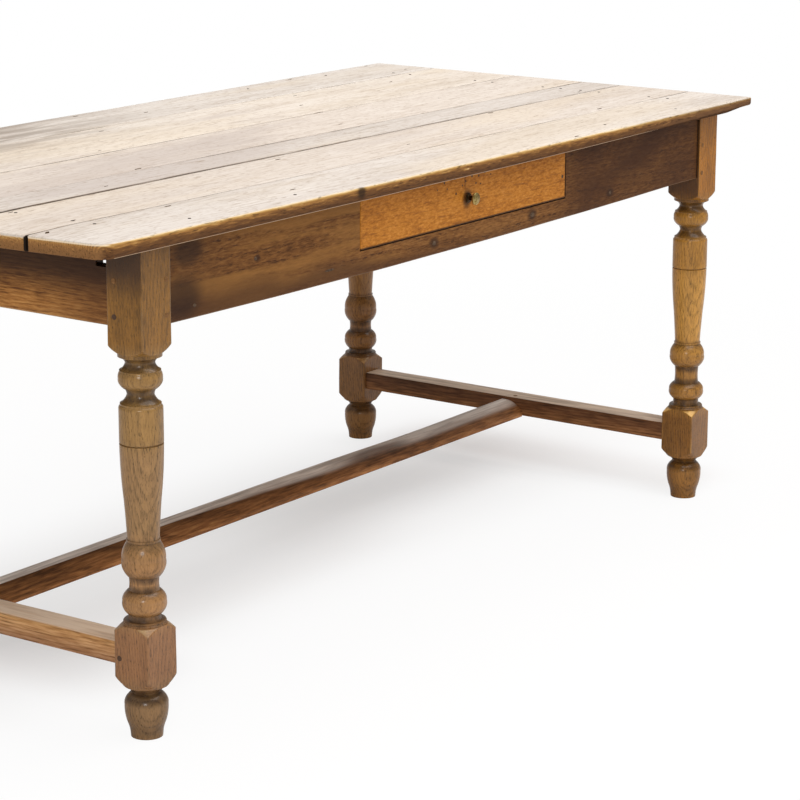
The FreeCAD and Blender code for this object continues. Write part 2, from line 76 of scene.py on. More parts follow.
# material bench: short calls for the nodes that every finish uses
class finishBench:
    def __init__(self, name):
        self.material = bpy.data.materials.new(name)
        self.material.use_nodes = True
        self.tree = self.material.node_tree
        self.tree.nodes.clear()
        self.output = self.tree.nodes.new("ShaderNodeOutputMaterial")
        self.skin = self.tree.nodes.new("ShaderNodeBsdfPrincipled")
        self.tree.links.new(self.skin.outputs[0], self.output.inputs["Surface"])

    def feed(self, socket, value):
        if isinstance(value, bpy.types.NodeSocket):
            self.tree.links.new(value, socket)
        elif socket.type == "RGBA":
            socket.default_value = (*value, 1.0)
        else:
            socket.default_value = value

    def calc(self, operation, first, second=0.0, third=0.0):
        node = self.tree.nodes.new("ShaderNodeMath")
        node.operation = operation
        for socket, value in zip(node.inputs, (first, second, third)):
            self.feed(socket, value)
        return node.outputs[0]

    def blend(self, factor, first, second, kind="MIX"):
        node = self.tree.nodes.new("ShaderNodeMix")
        node.data_type = "RGBA"
        node.blend_type = kind
        self.feed(node.inputs[0], factor)
        self.feed(node.inputs[6], first)
        self.feed(node.inputs[7], second)
        return node.outputs[2]

    def span(self, value, low, high, start=0.0, end=1.0, smooth=True):
        node = self.tree.nodes.new("ShaderNodeMapRange")
        node.interpolation_type = "SMOOTHSTEP" if smooth else "LINEAR"
        for socket, number in zip(node.inputs, (value, low, high, start, end)):
            self.feed(socket, number)
        return node.outputs[0]

    def mapped(self, vector, scale=(1, 1, 1), shift=(0, 0, 0), turn=(0, 0, 0)):
        node = self.tree.nodes.new("ShaderNodeMapping")
        self.feed(node.inputs["Vector"], vector)
        node.inputs["Location"].default_value = shift
        node.inputs["Rotation"].default_value = turn
        node.inputs["Scale"].default_value = scale
        return node.outputs[0]

    def speckle(self, vector, scale=1.0, detail=2.0, rough=0.5):
        node = self.tree.nodes.new("ShaderNodeTexNoise")
        self.feed(node.inputs["Vector"], vector)
        node.inputs["Scale"].default_value = scale
        node.inputs["Detail"].default_value = detail
        node.inputs["Roughness"].default_value = rough
        return node.outputs["Fac"]

    def ramp(self, value, stops):
        node = self.tree.nodes.new("ShaderNodeValToRGB")
        self.feed(node.inputs[0], value)
        ramp = node.color_ramp
        while len(ramp.elements) < len(stops):
            ramp.elements.new(0.5)
        for element, (place, colour) in zip(ramp.elements, stops):
            element.position = place
            element.color = (*colour, 1.0)
        return node.outputs[0]

    def tint(self, colour, stops, value):
        return self.blend(1.0, colour, self.ramp(value, stops), "MULTIPLY")

    def place(self):
        return self.tree.nodes.new("ShaderNodeTexCoord").outputs["Object"]

    def parts(self, vector):
        node = self.tree.nodes.new("ShaderNodeSeparateXYZ")
        self.feed(node.inputs[0], vector)
        return node.outputs

    def length(self, vector):
        node = self.tree.nodes.new("ShaderNodeVectorMath")
        node.operation = "LENGTH"
        self.feed(node.inputs[0], vector)
        return node.outputs["Value"]

    def facing(self):
        return self.parts(self.tree.nodes.new("ShaderNodeNewGeometry").outputs["Normal"])

    def given(self, name):
        # a value that the mesh carries at its points
        node = self.tree.nodes.new("ShaderNodeAttribute")
        node.attribute_name = name
        return node.outputs["Fac"]

    def spot(self, centre, reach):
        # 1 at a point of the piece, fading to 0 at the reach each way
        shift = tuple(-c / r for c, r in zip(centre, reach))
        local = self.mapped(self.place(), tuple(1 / r for r in reach), shift)
        return self.span(self.length(local), 1.0, 0.35)

    def finish(self, colour, rough, height, bump=0.25, depth=0.0006, shine=0.16):
        self.feed(self.skin.inputs["Base Color"], colour)
        self.feed(self.skin.inputs["Roughness"], rough)
        self.skin.inputs["Specular IOR Level"].default_value = shine
        node = self.tree.nodes.new("ShaderNodeBump")
        node.inputs["Strength"].default_value = bump
        node.inputs["Distance"].default_value = depth
        self.feed(node.inputs["Height"], height)
        self.feed(self.skin.inputs["Normal"], node.outputs[0])
        return self.material


# soft studio light, white floor that keeps a faint shadow
studio = {
    "skyTone": (1.0, 0.985, 0.965),
    "skyStrength": 0.44,
    "lamps": {
        "softKey": {"power": 154.0, "size": 4.6, "place": (0.38, -0.90, 3.9), "target": (0.0, 0.0, 0.6)},
        "frontFill": {"power": 62.0, "size": 1.2, "place": (-4.6, -2.8, 2.3), "target": (0.0, 0.0, 0.4)},
    },
    "floorHalf": 14.0,
    "floorTone": (0.92, 0.885, 0.875),
    "floorGlow": 0.92,          # share of the floor beside the table that the camera sees as plain white
    "floorFade": (1.3, 2.8),    # distances over which that share grows to the whole
    # soft shades: middle, where each fades across x and across y, and how much less is white there
    "shades": [
        ((0.00, 0.15), (0.95, 1.35), (0.04, 0.42), 0.24),      # under the whole table
        ((0.50, 0.13), (0.10, 0.60), (0.02, 0.22), 0.20),      # towards the right
        ((-0.15, -0.01), (0.25, 0.55), (0.03, 0.16), 0.10),    # centre stretcher
        ((0.90, -0.02), (0.02, 0.16), (0.28, 0.42), 0.33),     # right stretcher
        ((-0.62, -0.02), (0.03, 0.17), (0.08, 0.30), 0.22),    # left stretcher
    ],
}


def addSky(setup):
    # the camera sees plain white, the table gets the softer sky
    world = bpy.data.worlds.new("studioSky")
    bpy.context.scene.world = world
    world.use_nodes = True
    tree = world.node_tree
    tree.nodes.clear()
    path = tree.nodes.new("ShaderNodeLightPath")
    mix = tree.nodes.new("ShaderNodeMixShader")
    tree.links.new(path.outputs["Is Camera Ray"], mix.inputs[0])
    skies = [(setup["skyTone"], setup["skyStrength"]), ((1.0, 1.0, 1.0), 1.0)]
    for socket, (tone, strength) in zip(mix.inputs[1:], skies):
        sky = tree.nodes.new("ShaderNodeBackground")
        sky.inputs["Color"].default_value = (*tone, 1.0)
        sky.inputs["Strength"].default_value = strength
        tree.links.new(sky.outputs[0], socket)
    output = tree.nodes.new("ShaderNodeOutputWorld")
    tree.links.new(mix.outputs[0], output.inputs["Surface"])


def floorFinish(setup):
    bench = finishBench("floorPaint")
    nodes = bench.tree.nodes
    nodes.remove(bench.skin)
    matt = nodes.new("ShaderNodeBsdfDiffuse")
    bench.feed(matt.inputs["Color"], setup["floorTone"])
    glow = nodes.new("ShaderNodeEmission")
    glow.inputs["Strength"].default_value = 1.0
    place = bench.place()
    ways = bench.parts(place)
    white = bench.span(bench.length(place), *setup["floorFade"], setup["floorGlow"], 1.0)
    for middle, *limits, depth in setup["shades"]:
        shade = depth
        for way, centre, limit in zip(ways, middle, limits):
            off = bench.calc("ABSOLUTE", bench.calc("SUBTRACT", way, centre))
            shade = bench.calc("MULTIPLY", bench.span(off, *limit, 1.0, 0.0), shade)
        white = bench.calc("SUBTRACT", white, shade)
    path = nodes.new("ShaderNodeLightPath")
    mix = nodes.new("ShaderNodeMixShader")
    share = bench.calc("MULTIPLY", path.outputs["Is Camera Ray"], white)
    for socket, source in zip(mix.inputs, (share, matt.outputs[0], glow.outputs[0])):
        bench.feed(socket, source)
    bench.feed(bench.output.inputs["Surface"], mix.outputs[0])
    return bench.material


def addFloor(setup):
    mesh = bpy.data.meshes.new("studioFloor")
    half = setup["floorHalf"]
    corners = [(-half, -half, 0), (half, -half, 0), (half, half, 0), (-half, half, 0)]
    mesh.from_pydata(corners, [], [(0, 1, 2, 3)])
    mesh.materials.append(floorFinish(setup))
    floor = bpy.data.objects.new("studioFloor", mesh)
    bpy.context.scene.collection.objects.link(floor)


def addLamp(name, setup):
    data = bpy.data.lights.new(name, "AREA")
    data.shape = "DISK"
    data.size = setup["size"]
    data.energy = setup["power"]
    lamp = bpy.data.objects.new(name, data)
    lamp.location = setup["place"]
    aim = Vector(setup["target"]) - Vector(setup["place"])
    lamp.rotation_euler = aim.to_track_quat("-Z", "Y").to_euler()
    bpy.context.scene.collection.objects.link(lamp)


bpy.context.scene.view_settings.view_transform = "Standard"
addSky(studio)
addFloor(studio)
for lampName, lampSetup in studio["lamps"].items():
    addLamp(lampName, lampSetup)
print("studio ready")


# solid oak: growth rings about a pith line, fibres along it and open pores
grainTurns = {"X": (0, 0, 0), "Y": (0, 0, -math.pi / 2), "Z": (0, math.pi / 2, 0)}

# how fine each pattern is along, across and through the wood, where a piece says nothing else
plainOak = {
    "drift": (1.6, 9, 9),
    "wander": (9, 60, 60),
    "wanderShare": 0.12,    # the finer wander is this much as strong as the drift
    "fibre": (5, 240, 240),
    "patch": (2.4, 11, 11),
    "pore": (26, 560, 560),
}


def oakGrain(bench, look):
    look = {**plainOak, **look}
    wood = bench.mapped(bench.place(), shift=look["shift"], turn=grainTurns[look["grain"]])
    drift = bench.calc("SUBTRACT", bench.speckle(bench.mapped(wood, look["drift"]), detail=2), 0.5)
    wander = bench.calc("SUBTRACT", bench.speckle(bench.mapped(wood, look["wander"]), detail=2), 0.5)
    along, across, deep = bench.parts(wood)
    pithAcross, pithDeep = look["pith"]
    side = bench.calc("POWER", bench.calc("SUBTRACT", across, pithAcross), 2.0)
    down = bench.calc("POWER", bench.calc("SUBTRACT", deep, pithDeep), 2.0)
    radius = bench.calc("SQRT", bench.calc("ADD", side, down))
    radius = bench.calc("MULTIPLY_ADD", along, look["taper"], radius)
    radius = bench.calc("MULTIPLY_ADD", drift, look["waver"], radius)
    radius = bench.calc("MULTIPLY_ADD", wander, look["waver"] * look["wanderShare"], radius)
    year = bench.calc("FRACT", bench.calc("DIVIDE", radius, look["ringGap"]))
    ring = bench.calc("MULTIPLY", bench.span(year, 0.30, 0.88), bench.span(year, 1.0, 0.90))
    fibre = bench.speckle(bench.mapped(wood, look["fibre"]), detail=4, rough=0.62)
    patch = bench.speckle(bench.mapped(wood, look["patch"]), detail=3)
    pore = bench.speckle(bench.mapped(wood, look["pore"]), detail=1)
    # pores show most in the dark part of a ring
    pore = bench.calc("MULTIPLY", bench.span(pore, 0.57, 0.68), bench.calc("MULTIPLY_ADD", ring, 0.6, 0.4))
    return ring, fibre, pore, patch


def oakColour(bench, look):
    ring, fibre, pore, patch = oakGrain(bench, look)
    strength = bench.calc("MULTIPLY", bench.span(patch, 0.30, 0.62, 0.35, 1.0), look["ringShare"])
    tone = bench.calc("MULTIPLY_ADD", bench.calc("SUBTRACT", fibre, 0.5), look["fibreShare"], 0.55)
    tone = bench.calc("MULTIPLY_ADD", bench.calc("SUBTRACT", patch, 0.5), look["patchShare"], tone)
    tone = bench.calc("SUBTRACT", tone, bench.calc("MULTIPLY", ring, strength))
    dark, middle, light = look["tones"]
    colour = bench.ramp(tone, [(0.0, dark), (0.5, middle), (1.0, light)])
    colour = bench.blend(bench.calc("MULTIPLY", pore, look["poreDepth"]), colour, look["poreTone"])
    height = bench.calc("MULTIPLY_ADD", fibre, 0.5, bench.calc("MULTIPLY", ring, -0.2))
    height = bench.calc("SUBTRACT", height, bench.calc("MULTIPLY", pore, 0.7))
    rough = bench.span(fibre, 0.2, 0.8, look["rough"] + 0.08, look["rough"] - 0.08, smooth=False)
    return colour, rough, height


# mesh helpers
def clamp(value):
    return max(0.0, min(1.0, value))


def wobble(*place):
    return noise.noise(Vector(place))


def dress(name, mesh, material, body, node, sharp):
    # smooth shading with sharp arrises, then the piece takes its place in the frame
    mesh.polygons.foreach_set("use_smooth", [True] * len(mesh.polygons))
    mesh.set_sharp_from_angle(angle=math.radians(sharp))
    mesh.materials.clear()
    mesh.materials.append(material)
    piece = bpy.data.objects.new(name, mesh)
    bpy.context.scene.collection.objects.link(piece)
    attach(piece, body)
    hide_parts(node)


def meshPiece(name, points, faces, material, body, node, sharp=38.0, carried=None):
    mesh = bpy.data.meshes.new(name)
    mesh.from_pydata(points, [], faces)
    for label, values in (carried or {}).items():
        mesh.attributes.new(label, "FLOAT", "POINT").data.foreach_set("value", values)
    shell = bmesh.new()
    shell.from_mesh(mesh)
    bmesh.ops.remove_doubles(shell, verts=shell.verts, dist=1e-6)
    bmesh.ops.recalc_face_normals(shell, faces=shell.faces)
    shell.to_mesh(mesh)
    shell.free()
    dress(name, mesh, material, body, node, sharp)


def loft(rings):
    # closed skin over rings of equal count, with both ends covered
    points = [point for ring in rings for point in ring]
    count = len(rings[0])
    faces = []
    for i in range(len(rings) - 1):
        for j in range(count):
            k = (j + 1) % count
            faces.append((i * count + j, i * count + k, (i + 1) * count + k, (i + 1) * count + j))
    faces.append(tuple(range(count)))
    last = (len(rings) - 1) * count
    faces.append(tuple(last + j for j in range(count)))
    return points, faces


def roundedSection(low, high, floorZ, topZ, radii, flat=6):
    # outline of a bar: radii for front low, front high, back high, back low
    corners = [(low, floorZ, radii[0], 180, 270), (high, floorZ, radii[3], 270, 360),
               (high, topZ, radii[2], 0, 90), (low, topZ, radii[1], 90, 180)]
    arc = 6
    points = []
    for side, level, radius, start, end in corners:
        centreY = side + radius if side == low else side - radius
        centreZ = level + radius if level == floorZ else level - radius
        for i in range(arc):
            angle = math.radians(start + (end - start) * i / (arc - 1))
            points.append((centreY + radius * math.cos(angle), centreZ + radius * math.sin(angle)))
    # extra points along the flats keep the wear smooth
    dense = []
    for i, (y, z) in enumerate(points):
        dense.append((y, z))
        if i % arc == arc - 1:
            nextY, nextZ = points[(i + 1) % len(points)]
            for step in range(1, flat):
                share = step / flat
                dense.append((y + (nextY - y) * share, z + (nextZ - z) * share))
    return dense


def stationsBetween(start, end, pitch, fine):
    # close stations near both ends, for the rounded arrises, then an even pitch
    near = [start + d for d in fine]
    far = [end - d for d in reversed(fine)]
    inner = near[-1]
    count = max(1, int((far[0] - inner) / pitch))
    middle = [inner + (far[0] - inner) * i / count for i in range(1, count)]
    return near + middle + far


def endRound(distance, radius):
    # how far a rounded corner has fallen back at a distance from its end
    if distance >= radius:
        return 0.0
    return radius - math.sqrt(max(0.0, radius * radius - (radius - distance) ** 2))


# top: six scrubbed boards, worn at their edges
topLook = {
    "halfLength": 0.9275,
    "underside": 0.736,
    "surface": 0.7593,
    "edges": [(-0.4370, -0.2975), (-0.2967, -0.1467), (-0.1459, -0.0611),
              (-0.0603, 0.0966), (0.0974, 0.2930), (0.2938, 0.4345)],
    "pitch": 0.012,
    "endStations": [0.0, 0.0001, 0.0004, 0.0009, 0.0016, 0.0026, 0.004, 0.0058, 0.008, 0.011, 0.015, 0.020,
                    0.026, 0.034],
    "seamWear": [0.0002, 0.0008, 0.0003, 0.0003, 0.0],   # added to each seam, front to back
    # each seam opens at the left end: width and length of the gap
    "leftOpen": [(0.0028, 0.022), (0.0016, 0.45), (0.0, 1.0), (0.0, 1.0), (0.0, 1.0)],
    "seamWaver": 0.0002,
    # the near board is wider at its left end: by how much, over what length, and an offset to take away
    "seamBend": (0.0070, 0.22, 0.0015),
    "seamDepth": 0.0002,                   # what lies nearer to the side of a board is in the seam
    "frontArris": 0.0055,
    "frontThin": (0.5, 0.6),               # from this x on the front arris gets smaller, by this share
    "backArris": 0.0030,
    "seamArris": 0.0010,
    "leftArris": 0.0040,
    "rightArris": 0.0022,
    "lowArris": 0.0018,
    "lowSeamArris": 0.0008,
    "lowLeftArris": 0.002,
    "lowRightArris": 0.006,
    "arrisShare": 0.42,                    # most that an arris takes of the thickness
    "deepest": 0.84,                       # most that a point counts as fallen, 1 on the pale line of the lip
    "wornCorner": 0.026,
    "rightCorner": 0.0015,
    "backCorner": 0.008,
    "seamCorner": 0.003,
    "frontRecess": 0.0035,                 # how far the front edge falls back at the ends
    "frontWaver": 0.0004,
    "warp": 0.0003,
    "hollows": 0.0003,
    "bevelLength": 0.0975,
    "bevelHeight": 0.0085,
    "lipRise": 0.0085,                     # the front lip is planed thinner and thinner towards the right
    # back from the edge, up from the underside, and the share of the rise there
    "lip": [(0.0, 0.0018, 1.0), (0.0003, 0.0009, 1.0), (0.0009, 0.0003, 1.0), (0.0018, 0.0, 1.0),
            (0.0100, 0.0, 0.55), (0.0200, 0.0, 0.0)],
    "overhang": 0.0985,
    "droop": 0.0030,                       # the overhang at the left hangs lower, away from the near corner
    "droopStart": -0.41,
    "droopRun": 0.16,
    "nearHeart": (-0.4270, 0.7480),        # middle of the growth rings on the near end, y and z
    "pithAside": 0.03,                     # to one side of a board's middle and the other in turn
    "pithLevel": 0.69,
    "logStep": 0.37,
    "oak": {
        "grain": "X", "ringGap": 0.007, "taper": 0.012, "waver": 0.030, "ringShare": 0.16, "fibreShare": 1.5,
        "patchShare": 1.1, "fibre": (16, 170, 170), "patch": (1.6, 12, 12), "pore": (40, 260, 260),
        "poreDepth": 0.34, "poreTone": (0.40, 0.29, 0.20), "rough": 0.60,
    },
    "edgeOak": {"ringGap": 0.0042, "waver": 0.008, "fibre": (34, 300, 300), "pore": (60, 420, 420)},
    # dark, middle, light of each board: scrubbed pale, and paler still as a painted sheen
    "tones": [
        [(0.475, 0.405, 0.34), (0.63, 0.563, 0.505), (0.715, 0.655, 0.60)],
        [(0.50, 0.41, 0.335), (0.635, 0.555, 0.485), (0.71, 0.64, 0.575)],
        [(0.45, 0.39, 0.335), (0.60, 0.535, 0.48), (0.69, 0.63, 0.58)],
        [(0.50, 0.42, 0.36), (0.67, 0.585, 0.51), (0.755, 0.685, 0.615)],
        [(0.55, 0.46, 0.37), (0.72, 0.635, 0.55), (0.79, 0.725, 0.65)],
        [(0.48, 0.40, 0.33), (0.67, 0.605, 0.545), (0.765, 0.705, 0.645)],
    ],
    "colours": {
        "yellowed": (0.70, 0.57, 0.41),
        "greyed": (0.50, 0.43, 0.39),
        "dull": (0.305, 0.250, 0.205),
        "fleck": (0.34, 0.25, 0.185),
        "dash": (0.30, 0.21, 0.14),
        "check": (0.27, 0.18, 0.12),
        "seamDirt": (0.11, 0.068, 0.042),
        "rightEdge": (0.150, 0.074, 0.034),
        "leftEnd": (0.40, 0.20, 0.070),
        "edgePore": (0.05, 0.022, 0.009),
        "lipHighlight": (0.60, 0.43, 0.28),
        "rim": (0.90, 0.76, 0.56),
        "seamDirtAndShade": (0.012, 0.007, 0.004),
        "knot": (0.020, 0.011, 0.006),
    },
    # dirt in each seam: depth at its left end, middle and right end, and how far it reaches, in metres
    "seamDirt": [
        (0.48, 0.26, 0.20, 0.0024), (1.00, 0.55, 0.12, 0.0062), (0.12, 0.42, 0.34, 0.0026),
        (0.30, 0.40, 0.12, 0.0026), (0.10, 0.14, 0.10, 0.0020),
    ],
    # greyed areas and the knot in the front edge: middle, reach each way
    "greyedSpots": [((-0.38, -0.03, 0.76), (0.60, 0.17, 0.5)), ((-0.75, 0.45, 0.76), (0.75, 0.20, 0.5))],
    "frontKnot": ((-0.330, -0.437, 0.750), (0.016, 0.012, 0.014)),
}


def scrubbedFace(bench, index, colour):
    colours = topLook["colours"]
    place = bench.place()
    along, across = bench.parts(place)[:2]
    # yellower and greyer areas left by use
    sunny = bench.speckle(bench.mapped(place, (1.3, 8, 1), (index * 2.3, 0, 0)), detail=2)
    colour = bench.blend(bench.span(sunny, 0.48, 0.68, 0.0, 0.32), colour, colours["yellowed"])
    cold = bench.speckle(bench.mapped(place, (1.9, 10, 1), (5.0 + index, 3.0, 0)), detail=3)
    stain = bench.calc("MAXIMUM", *[bench.spot(middle, reach) for middle, reach in topLook["greyedSpots"]])
    cold = bench.calc("MULTIPLY_ADD", stain, 0.22, cold)
    cold = bench.calc("SUBTRACT", cold, bench.span(along, 0.15, 0.50, 0.0, 0.16))
    colour = bench.blend(bench.span(cold, 0.50, 0.80, 0.0, 0.60), colour, colours["greyed"])
    # dull back left corner
    dull = bench.calc("MULTIPLY", bench.span(along, 0.30, -0.40), bench.span(across, 0.10, 0.38))
    streak = bench.speckle(bench.mapped(place, (5, 46, 1), (2.0, index, 0)), detail=3)
    dull = bench.calc("MULTIPLY", dull, bench.span(streak, 0.38, 0.60, 0.25, 0.95))
    colour = bench.blend(dull, colour, colours["dull"])
    # short flecks and dark dashes where the grain has opened, in clusters
    fleck = bench.speckle(bench.mapped(place, (80, 260, 60), (index * 1.3, 0, 0)), detail=2)
    colour = bench.blend(bench.span(fleck, 0.56, 0.70, 0.0, 0.40), colour, colours["fleck"])
    dash = bench.speckle(bench.mapped(place, (30, 170, 60), (index * 3.1, 0, 0)), detail=2)
    cluster = bench.speckle(bench.mapped(place, (3, 14, 1), (index * 1.7, 4.0, 0)), detail=1)
    dash = bench.calc("MULTIPLY", bench.span(dash, 0.63, 0.72), bench.span(cluster, 0.42, 0.60))
    colour = bench.blend(bench.calc("MULTIPLY", dash, 0.55), colour, colours["dash"])
    check = bench.speckle(bench.mapped(place, (6, 190, 60), (9.0 + index, 0, 0)), detail=1)
    return bench.blend(bench.span(check, 0.72, 0.78, 0.0, 0.6), colour, colours["check"])


def seamGrime(bench, index, colour):
    # dirt in the seams on both sides of the board
    colours = topLook["colours"]
    place = bench.place()
    along = bench.parts(place)[0]
    broken = bench.speckle(bench.mapped(place, (16, 40, 1), (index * 0.9, 0, 0)), detail=3)
    for seam, side in ((index - 1, "fromLow"), (index, "fromHigh")):
        if 0 <= seam < len(topLook["seamDirt"]):
            left, middle, right, reach = topLook["seamDirt"][seam]
            depth = bench.calc("ADD", bench.span(along, -0.93, 0.0, left, middle),
                               bench.span(along, 0.0, 0.9, 0.0, right - middle))
            depth = bench.calc("MULTIPLY", depth, bench.span(broken, 0.30, 0.55, 0.45, 1.0))
            line = bench.span(bench.given(side), reach, reach * 0.25)
            colour = bench.blend(bench.calc("MULTIPLY", line, depth), colour, colours["seamDirt"])
    return colour


def boardEdge(bench, index, look, bare):
    # the edges keep their old golden and brown finish, the upper arris with a pale painted highlight, and end
    # grain about the heart of the near board
    colours = topLook["colours"]
    along = bench.parts(bench.place())[0]
    fall = bench.given("fall")
    look = {**look, **topLook["edgeOak"]}
    if index == 0:
        look["pith"] = topLook["nearHeart"]
    ring, fibre, pore = oakGrain(bench, look)[:3]
    heart = bench.spot((-topLook["halfLength"], *topLook["nearHeart"]), (0.1, 0.034, 0.034))
    endOn = bench.span(bench.calc("ABSOLUTE", bench.facing()[0]), 0.3, 0.7, 0.08, 0.34)
    endOn = bench.calc("MULTIPLY", endOn, bench.calc("MULTIPLY_ADD", heart, 0.8, 0.2))
    fibre = bench.calc("SUBTRACT", fibre, 0.5)
    figure = bench.calc("MULTIPLY_ADD", fibre, bench.span(fall, 0.20, 0.5, 0.15, 1.5),
                        bench.calc("MULTIPLY", ring, endOn))
    edge = bench.ramp(bench.calc("ADD", fall, figure), [
        (bare + 0.01, (0.84, 0.68, 0.43)), (bare + 0.08, (0.58, 0.36, 0.125)),
        (bare + 0.17, (0.37, 0.180, 0.048)), (bare + 0.36, (0.175, 0.077, 0.024)),
        (0.94, (0.090, 0.039, 0.015))])
    edge = bench.blend(bench.span(along, 0.35, 0.85, 0.0, 0.6), edge, colours["rightEdge"])
    edge = bench.blend(bench.span(bench.facing()[0], -0.5, -0.9, 0.0, 0.42), edge, colours["leftEnd"])
    edge = bench.blend(bench.calc("MULTIPLY", pore, 0.8), edge, colours["edgePore"])
    # a painted highlight along the lower lip of the front board
    edge = bench.blend(bench.span(fall, 0.90, 0.97, 0.0, 0.8), edge, colours["lipHighlight"])
    # a painted highlight along the arris of the left end
    rim = bench.calc("MULTIPLY", bench.span(fall, 0.06, 0.10), bench.span(fall, 0.19, 0.14))
    rim = bench.calc("MULTIPLY", rim, bench.span(bench.facing()[0], -0.2, -0.5, 0.0, 0.75))
    edge = bench.blend(rim, edge, colours["rim"])
    # faces inside the seams painted near black: dirt and painted shade
    edge = bench.blend(bench.given("seam"), edge, colours["seamDirtAndShade"])
    if index == 0:
        knot = bench.spot(*topLook["frontKnot"])
        edge = bench.blend(bench.calc("MULTIPLY", knot, 0.85), edge, colours["knot"])
    return edge


def topFinish(index):
    bench = finishBench("scrubbedSheenOak" + str(index + 1))
    low, high = topLook["edges"][index]
    pith = ((low + high) / 2 + topLook["pithAside"] * (-1) ** index, topLook["pithLevel"])
    cutAt = (topLook["logStep"] * index, 0.0, 0.0)
    look = dict(topLook["oak"], shift=cutAt, pith=pith, tones=topLook["tones"][index])
    colour, rough, height = oakColour(bench, look)
    colour = scrubbedFace(bench, index, colour)
    colour = seamGrime(bench, index, colour)
    # the scrubbed face ends where an arris has fallen this far
    bare = 0.09 if index == 0 else 0.16
    edge = boardEdge(bench, index, look, bare)
    kept = bench.calc("MAXIMUM", bench.span(bench.given("fall"), bare - 0.05, bare + 0.03),
                      bench.span(bench.given("seam"), 0.2, 0.8))
    return bench.finish(bench.blend(kept, colour, edge), rough, height, 0.2, shine=0.12)


def seamGap(seam, x):
    opening, fade = topLook["leftOpen"][seam]
    left = x + topLook["halfLength"]
    uneven = topLook["seamWaver"] * wobble(x * 6, seam * 7.3, 1.0)
    return max(0.0, topLook["seamWear"][seam] / 2 + opening * math.exp(-left / fade) / 2 + uneven)


def seamShift(seam, x):
    # only the front seam leaves the straight line
    widening, run, less = topLook["seamBend"]
    left = x + topLook["halfLength"]
    return widening * math.exp(-left / run) - less if seam == 0 else 0.0


def boardSides(index, x):
    look = topLook
    low, high = look["edges"][index]
    left = x + look["halfLength"]
    right = look["halfLength"] - x
    between = endRound(left, look["seamCorner"]) + endRound(right, look["seamCorner"])
    if index == 0:
        low += look["frontRecess"] * (x / look["halfLength"]) ** 2
        low += look["frontWaver"] * (1 + wobble(x * 9, 3.0, 0.0))
        low += endRound(left, look["wornCorner"]) + endRound(right, look["rightCorner"])
    else:
        low += seamGap(index - 1, x) + seamShift(index - 1, x) + between
    if index == len(look["edges"]) - 1:
        high -= endRound(left, look["backCorner"]) + endRound(right, look["backCorner"])
    else:
        high -= seamGap(index, x) - seamShift(index, x) + between
    return low, high


def boardArrises(index, x, limit):
    # front low, front high, back high and back low
    look = topLook
    seam = look["seamArris"] * (1 + 0.5 * wobble(x * 11, index, 9.0))
    frontLow, frontHigh, backHigh, backLow = look["lowSeamArris"], seam, seam, look["lowSeamArris"]
    if index == 0:
        thinStart, thinShare = look["frontThin"]
        frontHigh = look["frontArris"] * (1 + 0.25 * wobble(x * 7, 2.0, 5.0))
        frontHigh *= 1 - thinShare * max(0.0, (x - thinStart) / (look["halfLength"] - thinStart))
        frontLow = min(look["lowArris"], limit)
    if index == len(look["edges"]) - 1:
        backHigh = look["backArris"]
        backLow = min(look["lowArris"], limit)
    return frontLow, min(frontHigh, limit), min(backHigh, limit), backLow


def planedLip(section, low, floorZ, x):
    # the first points of a section are its lower front corner
    risen = topLook["underside"] + topLook["lipRise"] * max(0.0, x / topLook["halfLength"]) ** 2
    lip = max(0.0, risen - floorZ)
    for i, (back, up, share) in enumerate(topLook["lip"]):
        section[i] = (low + back, floorZ + lip * share + up)


def boardSection(index, x):
    # a ring of points, each with its fall, whether it lies in a seam, and its distance from both sides
    look = topLook
    left = x + look["halfLength"]
    right = look["halfLength"] - x
    first = index == 0
    last = index == len(look["edges"]) - 1
    low, high = boardSides(index, x)
    ground = look["underside"] + look["bevelHeight"] * max(0.0, 1 - right / look["bevelLength"])
    floorZ = ground + endRound(left, look["lowLeftArris"]) + endRound(right, look["lowRightArris"])
    topZ = look["surface"] + look["warp"] * wobble(x * 2.5, index * 5.1, 4.0)
    topZ -= endRound(left, look["leftArris"]) + endRound(right, look["rightArris"])
    radii = boardArrises(index, x, (topZ - floorZ) * look["arrisShare"])
    section = roundedSection(low, high, floorZ, topZ, radii, 8)
    if first:
        planedLip(section, low, floorZ, x)
    hang = clamp(1 - left / look["overhang"])
    droop = look["droop"] * hang * hang * (3 - 2 * hang)
    ring = []
    values = []
    for i, (y, z) in enumerate(section):
        fall = max(0.0, min(look["deepest"], (look["surface"] - z) / (look["surface"] - ground)))
        lipHighlight = first and 0 < i < 4 and left > look["wornCorner"]
        seamDirtAndShade = (not first and y - low < look["seamDepth"]) or (not last and high - y < look["seamDepth"])
        seamDirtAndShade = seamDirtAndShade and min(left, right) > 0
        values.append((1.0 if lipHighlight else fall, 1.0 if seamDirtAndShade else 0.0, y - low, high - y))
        rise = (z - look["underside"]) / (look["surface"] - look["underside"])
        z += rise * look["hollows"] * wobble(x * 4, y * 14, index * 2.0)
        z -= droop * clamp((y - look["droopStart"]) / look["droopRun"])
        ring.append((x, y, z))
    return ring, values


def buildTop():
    half = topLook["halfLength"]
    stations = stationsBetween(-half, half, topLook["pitch"], topLook["endStations"])
    for index in range(len(topLook["edges"])):
        sections = [boardSection(index, x) for x in stations]
        points, faces = loft([ring for ring, values in sections])
        columns = zip(*[row for ring, values in sections for row in values])
        carried = dict(zip(("fall", "seam", "fromLow", "fromHigh"), columns))
        number = str(index + 1)
        meshPiece("topBoard" + number, points, faces, topFinish(index), "frame", "top_board_" + number,
                  50.0, carried)


buildTop()
print("top boards ready")


